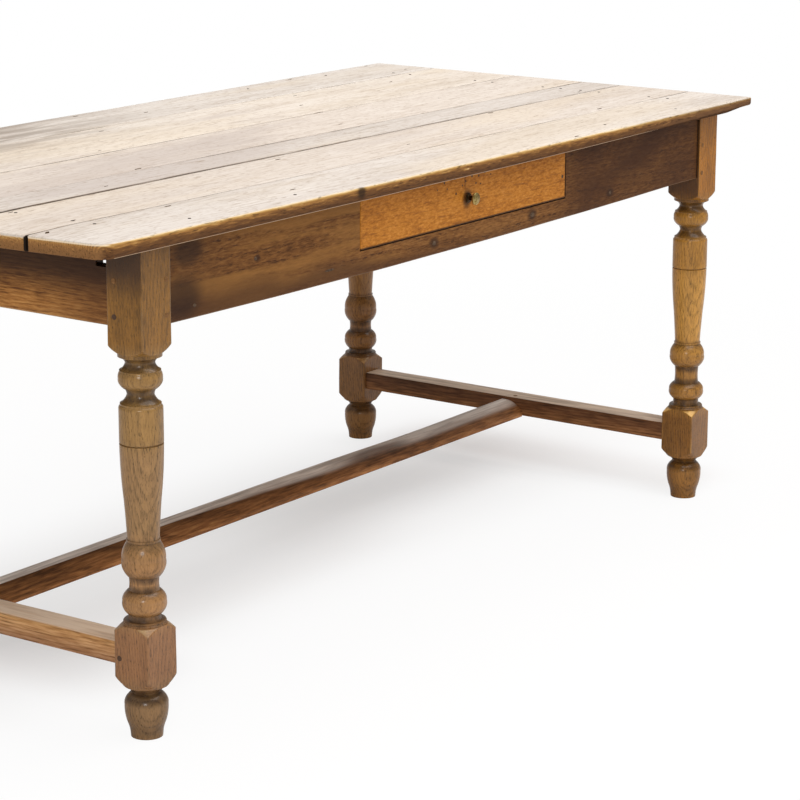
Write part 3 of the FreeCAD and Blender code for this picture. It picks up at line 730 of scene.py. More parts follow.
# turned legs
legLook = {
    "half": 0.0325,
    "height": 0.736,
    "centreX": 0.7965,
    "centreY": 0.3835,
    "block": 146.5,             # lengths of the upper block and the drum, in millimetres
    "drum": 51.0,
    "unevenness": 0.0035,
    "leastWear": 0.0006,
    "lowZone": 0.2,             # below this level lie the lower block and the foot
    "shoulder": (0.15, 0.0335),     # least level and radius of the slope that turning left on the lower block
    "liftStart": 0.06,
    "liftEnd": 0.12,
    "coveReach": 0.011,
    "coveRim": 0.036,           # a wider row, such as a block, counts as this wide
    "coveClean": 0.001,         # dirt starts at this depth below the rim
    "coveFull": 0.007,          # and is full this much deeper
    "rubbedAngle": 3.2,         # degrees on each side of a block's corner
    "rubbedArris": 0.35,
    "rubbedShoulder": 1.5,
    "grime": [(0.0590, 0.0095, 1.0), (0.1765, 0.0060, 1.0)],    # dark bands: level, half width, depth
    # angles of the points on an eighth of a ring, closer towards the block's corner
    "octant": [0, 4, 8, 12, 16, 20, 24, 28, 31, 34, 37, 39.5, 41.5, 43, 44, 45],
    "oak": {
        "grain": "Z", "ringGap": 0.0036, "taper": 0.055, "waver": 0.012, "ringShare": 0.24, "fibreShare": 1.6,
        "patchShare": 1.2, "fibre": (60, 480, 480), "patch": (6, 26, 26), "pore": (150, 620, 620),
        "poreDepth": 0.85, "rough": 0.30,
    },
    # colour of the vase, then how the foot, lower block, bulb, drum and upper block differ from it
    "finishes": {
        "front_left": ((0.292, 0.166, 0.066), [(0.74, 0.74, 0.78), (0.94, 0.78, 0.80), (1.12, 1.02, 0.96),
                                               (0.99, 0.98, 0.80), (0.86, 0.70, 0.31)]),
        "front_right": ((0.510, 0.258, 0.054), [(0.54, 0.48, 0.46), (0.44, 0.38, 0.40), (0.66, 0.62, 0.64),
                                                (0.80, 0.76, 0.70), (0.72, 0.54, 0.20)]),
        "back_left": ((0.30, 0.155, 0.052), [(0.8, 0.8, 0.8), (0.75, 0.72, 0.72), (0.9, 0.86, 0.86),
                                             (0.9, 0.86, 0.8), (0.75, 0.64, 0.56)]),
        "back_right": ((0.315, 0.152, 0.046), [(0.8, 0.8, 0.8), (0.80, 0.78, 0.8), (0.9, 0.86, 0.86),
                                               (0.9, 0.86, 0.8), (0.72, 0.62, 0.56)]),
    },
    "soot": (0.034, 0.016, 0.007),
    "overhangShade": (0.050, 0.022, 0.009),
    "pithAway": (0.055, 0.075),     # how far the pith lies from the middle of the leg, along x and y
    "logStep": 0.31,                # how far on each leg was cut from the log, so that no two are alike
}

# lengths in millimetres, wear rounds the upper and lower block, lift raises the turned part a little
usualTurning = {"bulb": 51.5, "bulbNeck": 21.0, "bead": 35.0, "ringNeck": 8.0, "wear": (0.0016, 0.0024),
                "lift": 0.0018}
oddTurning = {"bulb": 42.0, "bulbNeck": 32.0, "bead": 30.5, "ringNeck": 11.0, "wear": (0.0014, 0.0012),
              "lift": 0.0036}
farTurning = dict(usualTurning, lift=0.0028)
legCorners = {
    "front_left": (-1, -1, usualTurning), "front_right": (1, -1, oddTurning),
    "back_left": (-1, 1, farTurning), "back_right": (1, 1, farTurning),
}


def legSteps(turning):
    # (end radius, drop, bulge) in millimetres, from the top down
    block = 46.5
    full = 32.3
    upper = [
        (block, legLook["block"], 0), (full + 1.2, 12.0, 1.2), (full, 0.5, 0), (full, 5.0, 0),
        (full - 3.2, 0.8, 0), (21.8, 8.7, -1.8), (28.6, 10.5, -1.4), (30.1, 0.2, 0), (30.1, 1.8, 0),
        (full, 10.5, 0.9), (full - 6.8, 14.0, 2.4), (full - 9.3, 1.0, 0), (20.0, 8.0, -0.6),
        (28.7, 13.0, -1.7), (30.1, 0.3, 0), (30.1, 2.7, 0), (full, 4.0, 0.5), (full, legLook["drum"], 0),
        (full - 2.6, 1.0, 0), (full - 2.6, 0.7, 0), (full - 0.1, 1.0, 0),
    ]
    lower = [
        (25.0, 0.4, 0), (25.0, 3.0, 0), (24.2, 0.6, 0),
        (full, turning["bulb"] * 0.52, 2.7), (full - 7.4, turning["bulb"] * 0.48, 3.2), (22.6, 0.8, 0),
        (21.6, turning["bulbNeck"] / 2, -0.2), (22.6, turning["bulbNeck"] / 2, -0.2), (24.6, 0.6, 0),
        (full, turning["bead"] * 0.46, 2.6), (full - 6.6, turning["bead"] * 0.54, 2.9), (24.0, 1.0, 0),
        (24.8, turning["ringNeck"], -0.5), (full - 1.6, 0.5, 0), (full - 1.2, 3.0, 0.8),
        (full - 0.4, 3.0, 0.8), (full + 0.7, 0.4, 0), (block, 10.5, 0), (block, 67.5, 0),
        (full + 3.3, 13.0, 0.8), (full + 0.8, 3.5, 0.4), (full - 2.8, 1.0, 0), (22.0, 9.5, -1.2),
        (full + 0.1, 18.76, 3.4), (full - 3.8, 26.13, 1.3), (24.4, 14.74, -0.6), (23.7, 7.37, 0),
    ]
    # the vase takes up what is left of the height
    vase = legLook["height"] * 1000 - sum(step[1] for step in upper + lower)
    return block, upper + [(27.5, vase * 0.577, 1.0), (23.6, vase * 0.423, -0.3)] + lower


def legRows(turning):
    # (radius, level) of each ring of points, in metres, closer on the turned part than on the blocks
    radius, steps = legSteps(turning)
    level = legLook["height"] * 1000
    rows = [(radius, level)]
    for endRadius, drop, bulge in steps:
        pitch = 5.0 if drop > 60 and not bulge else 1.4
        count = max(1, round(drop / pitch))
        for i in range(1, count + 1):
            share = i / count
            swell = 4 * bulge * share * (1 - share)
            rows.append((radius + (endRadius - radius) * share + swell, level - drop * share))
        radius = endRadius
        level -= drop
    return [(r / 1000, z / 1000) for r, z in rows]


def coveDirt(rows):
    # old polish stays in the coves: compare each row with the widest row near it
    look = legLook
    dirt = []
    for radius, z in rows:
        near = [min(r, look["coveRim"]) for r, level in rows if abs(level - z) < look["coveReach"]]
        held = clamp((max(near) - radius - look["coveClean"]) / look["coveFull"])
        for middle, spread, depth in look["grime"]:
            held = max(held, depth * max(0.0, 1 - abs(z - middle) / spread))
        dirt.append(held)
    return dirt


def squareReach(angle, half, corner):
    # distance to a square with rounded corners
    dx, dy = abs(math.cos(angle)), abs(math.sin(angle))
    wide, thin = max(dx, dy), min(dx, dy)
    reach = half / wide
    if reach * thin <= half - corner:
        return reach
    inner = half - corner
    ahead = inner * (dx + dy)
    return ahead + math.sqrt(max(0.0, ahead * ahead - 2 * inner * inner + corner * corner))


def scaled(colour, *shares):
    # one share for all three values, or one for each
    if len(shares) == 1:
        shares = shares * 3
    return tuple(c * s for c, s in zip(colour, shares))


def legFinish(corner, number):
    bench = finishBench("legOak_" + corner)
    vase, (foot, lowBlock, bulb, drum, upBlock) = legLook["finishes"][corner]
    sideX, sideY = legCorners[corner][:2]
    # the pith lies behind the leg, so that the figure shows on the faces in front
    awayX, awayY = legLook["pithAway"]
    behind = (sideY * legLook["centreY"] + awayY, -sideX * legLook["centreX"] - awayX)
    cutAt = (legLook["logStep"] * number, 0.0, 0.0)
    look = dict(legLook["oak"], shift=cutAt, pith=behind, poreTone=scaled(vase, 0.30),
                tones=[scaled(vase, 0.42), vase, scaled(vase, 1.38)])
    colour, rough, height = oakColour(bench, look)
    place = bench.place()
    z = bench.parts(place)[2]
    level = bench.span(z, 0.0, legLook["height"], smooth=False)
    plain = (1.0, 1.0, 1.0)
    zones = [(0.09, foot), (0.14, lowBlock), (0.215, lowBlock), (0.25, bulb), (0.36, bulb), (0.44, plain),
             (0.58, plain), (0.62, drum), (0.77, drum), (0.81, upBlock)]
    colour = bench.tint(colour, zones, level)
    # pale where corners are rubbed, dark in the coves
    rubbing = bench.speckle(bench.mapped(place, (60, 60, 25)), detail=2)
    rubbed = bench.calc("MULTIPLY", bench.given("rubbed"), bench.span(rubbing, 0.35, 0.65, 0.15, 0.75))
    colour = bench.blend(rubbed, colour, scaled(vase, 1.5, 1.7, 2.1))
    soot = bench.speckle(bench.mapped(place, (70, 70, 70)), detail=3)
    soot = bench.calc("MULTIPLY", bench.given("dirt"), bench.span(soot, 0.25, 0.65, 0.5, 0.95))
    colour = bench.blend(bench.calc("MULTIPLY", soot, 0.86), colour, legLook["soot"])
    # painted shade under the overhang, most on the end and inner faces, and painted shade beneath the table
    # on the inner faces of the upper block
    aside = bench.facing()[0]
    overhangShade = bench.span(z, 0.650, 0.708, 0.0, 0.88)
    overhangShade = bench.calc("MULTIPLY", overhangShade, bench.span(bench.calc("ABSOLUTE", aside), 0.3, 0.8, 0.25, 1.0))
    inner = bench.span(bench.calc("MULTIPLY", aside, -sideX), 0.3, 0.8)
    inner = bench.calc("MULTIPLY", inner, bench.span(level, 0.74, 0.82, 0.0, 0.85))
    colour = bench.blend(bench.calc("MAXIMUM", overhangShade, inner), colour, legLook["overhangShade"])
    bench.skin.inputs["Coat Weight"].default_value = 0.22
    bench.skin.inputs["Coat Roughness"].default_value = 0.15
    return bench.finish(colour, rough, height, 0.12, shine=0.20)


def legShape(corner, number, angles):
    look = legLook
    sideX, sideY, turning = legCorners[corner]
    rows = legRows(turning)
    shoulderLevel, shoulderRadius = look["shoulder"]
    rings = []
    carried = {"dirt": [], "rubbed": []}
    for (radius, z), soot in zip(rows, coveDirt(rows)):
        low = z < look["lowZone"]
        shoulder = low and z > shoulderLevel and radius > shoulderRadius
        lift = turning["lift"] * clamp(z / look["liftStart"]) * clamp((look["height"] - z) / look["liftEnd"])
        ring = []
        for angle in angles:
            quadrant = math.floor(angle / (math.pi / 2))
            uneven = 1 + 0.55 * wobble(z * 22, quadrant * 3.7, number * 5.0)
            wear = turning["wear"][1 if low else 0] * uneven
            square = squareReach(angle, look["half"], max(look["leastWear"], wear))
            turned = radius * (1 + look["unevenness"] * wobble(math.cos(angle), math.sin(angle), z * 25))
            if square <= turned:
                offCorner = abs((math.degrees(angle) % 90) - 45)
                rubbed = look["rubbedArris"] * max(0.0, 1 - offCorner / look["rubbedAngle"])
            else:
                rubbed = look["rubbedShoulder"] if shoulder else 0.0
            carried["rubbed"].append(rubbed)
            carried["dirt"].append(soot if turned < square else 0.0)
            reach = min(square, turned)
            ring.append((sideX * look["centreX"] + reach * math.cos(angle),
                         sideY * look["centreY"] + reach * math.sin(angle), z + lift))
        rings.append(ring)
    return rings, carried


def buildLegs():
    octant = legLook["octant"]
    quarter = octant + [90 - a for a in reversed(octant[:-1])]
    angles = [math.radians(a + turn) for turn in (0, 90, 180, 270) for a in quarter[:-1]]
    for number, corner in enumerate(legCorners):
        rings, carried = legShape(corner, number, angles)
        points, faces = loft(rings)
        meshPiece("turnedLeg_" + corner, points, faces, legFinish(corner, number), "frame", "leg_" + corner,
                  32.0, carried)


buildLegs()
print("legs ready")


# aprons and end rails: boards with a worn lower arris and a notch from above
railLook = {
    "low": 0.618,
    "high": 0.736,
    "apronSpan": (-0.764, 0.764),
    "apronFace": 0.412,
    "apronBack": 0.386,
    "drawerNotch": (-0.3015, 0.3015, 0.6505),
    "railSpan": (-0.351, 0.351),
    "railFace": 0.825,
    "railBack": 0.800,
    "cutOut": (-0.351, -0.329, 0.702),
    "cutSplay": 0.0075,      # the cut widens towards the inside
    "lowerArris": 0.0026,
    "innerArris": 0.0014,
    "faceWaver": 0.0002,
    "pitch": 0.02,
    # front apron: bow per metre, how far left of the middle it hangs lowest, how low, and the most it rises
    "sag": (0.0125, 0.20, 0.0047, 0.005),
}

apronLook = {
    "oak": {
        "grain": "X", "shift": (0.2, 0.0, 0.0), "pith": (-0.30, 0.56), "ringGap": 0.010, "taper": 0.03,
        "waver": 0.05, "ringShare": 0.20, "fibreShare": 2.1, "patchShare": 1.5, "fibre": (55, 330, 330),
        "patch": (3, 13, 13), "pore": (90, 460, 460),
        "tones": [(0.070, 0.026, 0.0062), (0.176, 0.071, 0.0175), (0.282, 0.126, 0.034)],
        "poreDepth": 0.75, "poreTone": (0.034, 0.013, 0.005), "rough": 0.48,
    },
    "colours": {
        "gold": (0.30, 0.138, 0.034),
        "dusk": (0.048, 0.017, 0.0065),
        "byLeftLeg": (0.060, 0.024, 0.010),
        "lowerEdge": (0.066, 0.026, 0.010),
        "gap": (0.016, 0.009, 0.006),
        "knot": (0.026, 0.012, 0.007),
        "lowArrisHighlight": (0.42, 0.25, 0.12),
    },
    # (x, z, length, height) of knots and stains on the face of the front apron
    "knots": [
        (-0.720, 0.716, 0.050, 0.030), (-0.735, 0.650, 0.060, 0.045), (-0.098, 0.633, 0.018, 0.013),
        (0.196, 0.637, 0.020, 0.014), (0.451, 0.640, 0.016, 0.011), (-0.560, 0.681, 0.010, 0.008),
    ],
}

endRailLook = {
    "oak": {
        "grain": "Y", "shift": (0.1, 0.0, 0.0), "pith": (0.86, 0.55), "ringGap": 0.0065, "taper": 0.03,
        "waver": 0.05, "ringShare": 0.30, "fibreShare": 1.9, "patchShare": 1.2, "fibre": (40, 420, 420),
        "tones": [(0.14, 0.050, 0.011), (0.40, 0.172, 0.042), (0.60, 0.30, 0.088)],
        "poreDepth": 0.6, "poreTone": (0.045, 0.018, 0.007), "rough": 0.47,
    },
    "colours": {
        "lowArrisHighlight": (0.45, 0.28, 0.14),
        "byNearLeg": (0.105, 0.040, 0.013),
        "overhangShade": (0.034, 0.014, 0.007),
    },
}


def quarterTurn():
    return [math.pi / 2 * i / 5 for i in range(6)]


def railSection(s, outer, inner, line, seed, low):
    # down the face, round the lower arris, and up the back to the level of the notch
    look = railLook
    out = 1 if outer > inner else -1
    arris = look["lowerArris"] * (1 + 0.4 * wobble(s * 8, seed, 0.5))
    back = look["innerArris"]
    face = outer - out * look["faceWaver"] * (1 + wobble(s * 3, seed, 6.0))
    lower = [(face, line + (low + arris - line) * step / 5) for step in range(5)]
    for angle in quarterTurn():
        lower.append((face - out * arris * (1 - math.cos(angle)), low + arris * (1 - math.sin(angle))))
    for angle in quarterTurn():
        lower.append((inner + out * back * (1 - math.sin(angle)), low + back * (1 - math.cos(angle))))
    lower.append((inner, line))
    return lower, [(inner, look["high"]), (face, look["high"])]


def sagging(x):
    bow, place, depth, most = railLook["sag"]
    return min(most, bow * (x + place) ** 2 - depth)


def straight(x):
    return 0.0


def notchedBoard(name, node, axis, span, faces, material, seed, notch=None, splay=0.0, sag=straight):
    # the section below the notch runs the whole length, the part above it stops at the notch
    outer, inner = faces
    line = notch[2] if notch else (railLook["low"] + railLook["high"]) / 2
    cuts = sorted(set(span + (notch[:2] if notch else ())))
    points = []
    skin = []

    def add(s, pair):
        across, z = pair
        if s in cuts and s not in span:
            s += splay * (across - outer) / (inner - outer)
        points.append((s, across, z) if axis == "X" else (across, s, z))
        return len(points) - 1

    lastLower = None
    lastUpper = None
    for start, end in zip(cuts, cuts[1:]):
        notched = bool(notch) and notch[0] < (start + end) / 2 < notch[1]
        count = max(1, int((end - start) / railLook["pitch"]))
        for i in range(count + 1):
            s = end if i == count else start + (end - start) * i / count
            lowerPairs, upperPairs = railSection(s, outer, inner, line, seed, railLook["low"] + sag(s))
            fresh = i > 0 or lastLower is None
            lower = [add(s, pair) for pair in lowerPairs] if fresh else lastLower
            upper = None
            if not notched:
                fresh = i > 0 or lastUpper is None
                upper = [add(s, pair) for pair in upperPairs] if fresh else lastUpper
            if lastLower is None:
                skin.append(tuple(lower + (upper or [])))
            elif i == 0:
                wall = upper or lastUpper
                skin.append((lower[-1], wall[0], wall[1], lower[0]))
            else:
                before = lastLower + (lastUpper or [])
                now = lower + (upper or [])
                for a in range(len(now)):
                    b = (a + 1) % len(now)
                    skin.append((before[a], before[b], now[b], now[a]))
            lastLower = lower
            lastUpper = upper
    skin.append(tuple(lastLower + (lastUpper or [])))
    meshPiece(name, points, skin, material, "frame", node)


def apronFinish(name, knots):
    bench = finishBench(name)
    colours = apronLook["colours"]
    colour, rough, height = oakColour(bench, apronLook["oak"])
    place = bench.place()
    ways = bench.parts(place)
    along = ways[0]
    level = ways[2]
    # golden streaks left of the drawer, darker and more even to the right
    streak = bench.speckle(bench.mapped(place, (2.5, 20, 34)), detail=3)
    gold = bench.calc("MULTIPLY", bench.span(streak, 0.46, 0.66), bench.span(along, -0.30, 0.25, 0.75, 0.0))
    colour = bench.blend(gold, colour, colours["gold"])
    cloud = bench.speckle(bench.mapped(place, (6, 20, 14)), detail=3)
    dusk = bench.calc("MULTIPLY", bench.span(cloud, 0.25, 0.70, 0.95, 0.45), bench.span(along, 0.20, 0.42))
    colour = bench.blend(dusk, colour, colours["dusk"])
    colour = bench.blend(bench.span(along, -0.56, -0.74, 0.0, 0.40), colour, colours["byLeftLeg"])
    # dull along the lower edge, and painted shade in the joint against the right leg
    low = bench.calc("MULTIPLY_ADD", bench.calc("SUBTRACT", cloud, 0.5), 0.05, level)
    low = bench.calc("ADD", low, bench.span(along, -0.40, -0.10, 0.0, 0.024))
    colour = bench.blend(bench.span(low, 0.664, 0.628, 0.0, 0.74), colour, colours["lowerEdge"])
    colour = bench.blend(bench.span(along, 0.7590, 0.7615, 0.0, 0.85), colour, colours["gap"])
    for x, z, length, tall in knots:
        stain = bench.spot((x, -railLook["apronFace"], z), (length, 0.1, tall))
        colour = bench.blend(bench.calc("MULTIPLY", stain, 0.72), colour, colours["knot"])
    # painted highlight along the worn lower arris, and painted shade, nearly black, on the faces inside the
    # drawer opening
    facing = bench.facing()
    colour = bench.blend(bench.span(facing[2], -0.08, -0.5, 0.0, 0.25), colour, colours["lowArrisHighlight"])
    inside = bench.calc("MAXIMUM", facing[2], bench.calc("ABSOLUTE", facing[0]))
    colour = bench.blend(bench.span(inside, 0.6, 0.8), colour, colours["gap"])
    return bench.finish(colour, rough, height, shine=0.1)


def railFinish():
    bench = finishBench("endRailOak")
    colours = endRailLook["colours"]
    colour, rough, height = oakColour(bench, endRailLook["oak"])
    up = bench.facing()[2]
    # painted highlight along the worn lower arris
    colour = bench.blend(bench.span(up, -0.08, -0.5, 0.0, 0.7), colour, colours["lowArrisHighlight"])
    # deeper towards the near leg, and painted shade under the overhang
    place = bench.parts(bench.place())
    colour = bench.blend(bench.span(place[1], -0.17, -0.34, 0.0, 0.50), colour, colours["byNearLeg"])
    colour = bench.blend(bench.span(place[2], 0.636, 0.692, 0.0, 0.90), colour, colours["overhangShade"])
    return bench.finish(colour, rough, height)


def buildRails():
    look = railLook
    face, back = look["apronFace"], look["apronBack"]
    rail = railFinish()
    front = apronFinish("frontApronOak", apronLook["knots"])
    rear = apronFinish("backApronOak", [])
    notchedBoard("frontApron", "apron_front", "X", look["apronSpan"], (-face, -back), front, 1.0,
                 look["drawerNotch"], sag=sagging)
    notchedBoard("backApron", "apron_back", "X", look["apronSpan"], (face, back), rear, 2.0)
    face, back = look["railFace"], look["railBack"]
    notchedBoard("leftEndRail", "end_rail_left", "Y", look["railSpan"], (-face, -back), rail, 3.0,
                 look["cutOut"], look["cutSplay"])
    notchedBoard("rightEndRail", "end_rail_right", "Y", look["railSpan"], (face, back), rail, 4.0)


buildRails()
print("aprons and rails ready")


# low stretchers, worn by feet
stretcherLook = {
    "pitch": 0.012,
    "endSpan": (-0.351, 0.351),
    "endMiddle": 0.7965,
    "endWidth": 0.0515,
    "low": 0.1105,
    "high": 0.145,
    "outerArris": 0.006,
    "innerArris": 0.003,
    "lowArris": 0.002,
    "endHollows": 0.0004,
    "centreSpan": (-0.77075, 0.77075),
    "centreFront": -0.0305,
    "centreBack": 0.0205,
    "centreLow": 0.1085,
    "centreHigh": 0.1395,
    "centreHollows": 0.0003,
    "centreLowArris": 0.0015,
    "centreBackArris": 0.004,
    "wornFrom": (-0.30, 0.45),          # the left end keeps its arris, which is gone this far on
    "dip": (0.45, 0.22, 0.0030),        # hollow worn by feet: middle, spread, depth
    "slopeRun": 0.022,
    "slopeDrop": (0.025, -0.006),       # where unworn, and what wear adds
    "nose": (0.002, 0.016),
    "pith": (0.04, 0.06),
    "oak": {
        "ringGap": 0.006, "taper": 0.03, "waver": 0.04, "ringShare": 0.28, "fibreShare": 1.9,
        "patchShare": 1.4, "fibre": (22, 250, 250), "poreDepth": 0.55, "rough": 0.48,
    },
    # dark, middle and light of the sides, the worn upper face, pale partly as a painted sheen, then how the
    # sides change from below upwards
    "finishes": {
        "left": ([(0.18, 0.080, 0.028), (0.42, 0.212, 0.086), (0.60, 0.35, 0.17)], (0.84, 0.64, 0.47),
                 [(0.15, (0.80, 0.76, 0.82)), (0.50, (1.0, 0.98, 0.96)), (0.85, (1.12, 1.10, 0.98))]),
        "right": ([(0.092, 0.038, 0.014), (0.228, 0.098, 0.037), (0.37, 0.178, 0.074)], (0.74, 0.57, 0.43),
                  [(0.15, (1.06, 1.05, 1.0)), (0.55, (0.78, 0.75, 0.78)), (0.85, (0.60, 0.57, 0.62))]),
        "centre": ([(0.120, 0.048, 0.015), (0.325, 0.134, 0.043), (0.570, 0.264, 0.094)], (0.93, 0.82, 0.73),
                   [(0.08, (1.14, 1.14, 1.14)), (0.40, (0.82, 0.80, 0.80)), (0.80, (0.42, 0.40, 0.40))]),
    },
    # dark heart in the worn top: middle, reach each way
    "heart": ((0.30, -0.012, 0.138), (0.14, 0.03, 0.05)),
}


def stretcherFinish(name, grain, shift, pith):
    bench = finishBench(name + "StretcherOak")
    tones, rubAndSheenTone, rises = stretcherLook["finishes"][name]
    look = dict(stretcherLook["oak"], grain=grain, shift=(shift, 0.0, 0.0), pith=pith, tones=tones,
                poreTone=scaled(tones[0], 0.3))
    colour, rough, height = oakColour(bench, look)
    up = bench.facing()[2]
    place = bench.place()
    level = bench.parts(place)[2]
    risen = bench.span(level, stretcherLook["low"], stretcherLook["high"], smooth=False)
    colour = bench.tint(colour, rises, risen)
    wide = (90, 7, 7) if grain == "Y" else (7, 90, 7)
    worn = bench.speckle(bench.mapped(place, wide), detail=4, rough=0.6)
    # the upper face pale where worn by feet, and partly as a painted sheen
    rubAndSheen = bench.calc("MULTIPLY", bench.span(up, 0.78, 0.97), bench.span(worn, 0.36, 0.60, 0.60, 1.0))
    if name == "centre":
        heart = bench.spot(*stretcherLook["heart"])
        rubAndSheen = bench.calc("MULTIPLY", rubAndSheen, bench.calc("MULTIPLY_ADD", heart, -0.75, 1.0))
        rubAndSheen = bench.calc("MULTIPLY", rubAndSheen, bench.span(bench.parts(place)[0], 0.05, 0.45, 1.0, 0.90))
    colour = bench.blend(rubAndSheen, colour, rubAndSheenTone)
    return bench.finish(colour, rough, height)


def endStretcher(name, side, shift):
    look = stretcherLook
    half = look["endWidth"] / 2
    rings = []
    for y in stationsBetween(*look["endSpan"], look["pitch"], [0.0]):
        outer = look["outerArris"] * (1 + 0.4 * wobble(y * 7, side, 0.3))
        inner = look["innerArris"] * (1 + 0.4 * wobble(y * 7, side, 8.3))
        high = look["high"] - look["endHollows"] * (1 + wobble(y * 5, side * 2.0, 1.0))
        left, right = (outer, inner) if side < 0 else (inner, outer)
        radii = (look["lowArris"], left, right, look["lowArris"])
        section = roundedSection(-half, half, look["low"], high, radii)
        rings.append([(side * look["endMiddle"] + x, y, z) for x, z in section])
    points, faces = loft(rings)
    across, height = look["pith"]
    shade = stretcherFinish(name, "Y", shift, (across - side * look["endMiddle"], height))
    meshPiece(name + "Stretcher", points, faces, shade, "frame", "stretcher_" + name)


def centreSection(x):
    look = stretcherLook
    front, back = look["centreFront"], look["centreBack"]
    wornStart, wornRun = look["wornFrom"]
    worn = clamp((x - wornStart) / wornRun)
    dipMiddle, dipSpread, dipDepth = look["dip"]
    dip = dipDepth * math.exp(-((x - dipMiddle) / dipSpread) ** 2)
    high = look["centreHigh"] - dip - look["centreHollows"] * (1 + wobble(x * 5, 7.0, 1.0))
    drop = look["slopeDrop"][0] + look["slopeDrop"][1] * worn
    nose = look["nose"][0] + look["nose"][1] * worn
    low, arris, backArris = look["centreLow"], look["centreLowArris"], look["centreBackArris"]
    # up the front and the worn slope, round its nose, along the top and down the back
    profile = [(front, low + arris), (front, high - drop)]
    brow = Vector((front + look["slopeRun"], high))
    before = brow - (brow - Vector((front, high - drop))).normalized() * nose
    after = brow + Vector((nose, 0))
    for i in range(7):
        share = i / 6
        point = before * (1 - share) ** 2 + brow * 2 * share * (1 - share) + after * share ** 2
        profile.append((point.x, point.y))
    profile += [((brow.x + nose + back) / 2, high), (back - backArris, high),
                (back - backArris * 0.3, high - backArris * 0.3), (back, high - backArris),
                (back, low + arris), (back - arris, low), (front + arris, low)]
    return [(x, y, z) for y, z in profile]


def buildStretchers():
    endStretcher("left", -1, 0.3)
    endStretcher("right", 1, 1.3)
    stations = stationsBetween(*stretcherLook["centreSpan"], stretcherLook["pitch"], [0.0])
    points, faces = loft([centreSection(x) for x in stations])
    shade = stretcherFinish("centre", "X", 0.6, stretcherLook["pith"])
    meshPiece("centreStretcher", points, faces, shade, "frame", "stretcher_centre")


buildStretchers()
print("stretchers ready")


# drawer: the joined boards keep their CAD form, with softened edges
drawerLook = {
    "frontEdge": 0.0010,
    "boxEdge": 0.0007,
    "bottomEdge": 0.0005,
    "runnerEdge": 0.0008,
    "leastEdge": 0.02,       # shorter edges stay sharp
    "leastAngle": 0.7,       # so do edges that turn less, in radians
    "oak": {
        "grain": "X", "shift": (0.9, 0.0, 0.0), "pith": (-0.36, 0.60), "ringGap": 0.012, "taper": 0.02,
        "waver": 0.05, "ringShare": 0.12, "fibreShare": 2.3, "patchShare": 0.7, "fibre": (105, 300, 300),
        "patch": (9, 30, 30), "tones": [(0.28, 0.092, 0.010), (0.47, 0.172, 0.019), (0.60, 0.250, 0.040)],
        "poreDepth": 0.5, "poreTone": (0.17, 0.058, 0.012), "rough": 0.44,
    },
    # dark oval about the knob, partly a stain and partly the knob's painted shadow, and a faint run above it:
    # middle, reach, depth, colour
    "stains": [
        ((-0.004, -0.412, 0.6925), (0.017, 0.1, 0.021), 0.85, (0.030, 0.013, 0.006)),
        ((-0.010, -0.412, 0.723), (0.0035, 0.1, 0.020), 0.5, (0.10, 0.036, 0.010)),
    ],
    "gap": (0.020, 0.010, 0.006),
    "rawOak": {
        "pith": (0.05, 0.45), "ringGap": 0.010, "taper": 0.02, "waver": 0.04, "ringShare": 0.3,
        "fibreShare": 1.6, "patchShare": 1.2,
        "tones": [(0.26, 0.16, 0.08), (0.44, 0.30, 0.165), (0.56, 0.41, 0.25)],
        "poreDepth": 0.5, "poreTone": (0.16, 0.09, 0.045), "rough": 0.62,
    },
}


def softenedCopy(name, node, material, body, width):
    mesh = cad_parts[node].data.copy()
    mesh.name = name
    shell = bmesh.new()
    shell.from_mesh(mesh)
    bmesh.ops.remove_doubles(shell, verts=shell.verts, dist=1e-6)
    bmesh.ops.dissolve_limit(shell, angle_limit=math.radians(1.0), verts=shell.verts, edges=shell.edges)
    edges = [e for e in shell.edges if e.calc_length() > drawerLook["leastEdge"] and len(e.link_faces) == 2
             and e.is_convex and e.calc_face_angle() > drawerLook["leastAngle"]]
    bmesh.ops.bevel(shell, geom=edges, offset=width, segments=2, profile=0.5, affect="EDGES",
                    clamp_overlap=True)
    bmesh.ops.triangulate(shell, faces=[f for f in shell.faces if len(f.verts) > 4])
    bmesh.ops.recalc_face_normals(shell, faces=shell.faces)
    shell.to_mesh(mesh)
    shell.free()
    dress(name, mesh, material, body, node, 30.0)


def drawerFrontFinish():
    bench = finishBench("goldenDrawerOak")
    colour, rough, height = oakColour(bench, drawerLook["oak"])
    for middle, reach, depth, tone in drawerLook["stains"]:
        colour = bench.blend(bench.calc("MULTIPLY", bench.spot(middle, reach), depth), colour, tone)
    # dirt and painted shade in the gaps below and at the right
    place = bench.parts(bench.place())
    gapDirtAndShade = bench.calc("MAXIMUM", bench.span(place[0], 0.2970, 0.2990), bench.span(place[2], 0.6556, 0.6536))
    colour = bench.blend(bench.calc("MULTIPLY", gapDirtAndShade, 0.85), colour, drawerLook["gap"])
    return bench.finish(colour, rough, height, shine=0.12)


def rawFinish(name, grain, shift):
    bench = finishBench(name)
    return bench.finish(*oakColour(bench, dict(drawerLook["rawOak"], grain=grain, shift=(shift, 0.0, 0.0))))


def buildDrawer():
    look = drawerLook
    front = drawerFrontFinish()
    longways = rawFinish("rawOakAlong", "Y", 0.7)
    crossways = rawFinish("rawOakAcross", "X", 0.4)
    softenedCopy("drawerFront", "drawer_front", front, "drawer", look["frontEdge"])
    softenedCopy("drawerBack", "drawer_back", crossways, "drawer", look["boxEdge"])
    for place in ("front", "middle", "rear"):
        name = "drawerBottom" + place.capitalize()
        softenedCopy(name, "drawer_bottom_" + place, crossways, "drawer", look["bottomEdge"])
    for side in ("left", "right"):
        end = side.capitalize()
        name = "drawerSide" + end
        softenedCopy(name, "drawer_side_" + side, longways, "drawer", look["boxEdge"])
        for label, wood in (("Runner", longways), ("Guide", longways), ("Stop", crossways)):
            node = "drawer_" + label.lower() + "_" + side
            softenedCopy("drawer" + label + end, node, wood, "frame", look["runnerEdge"])


buildDrawer()
print("drawer ready")


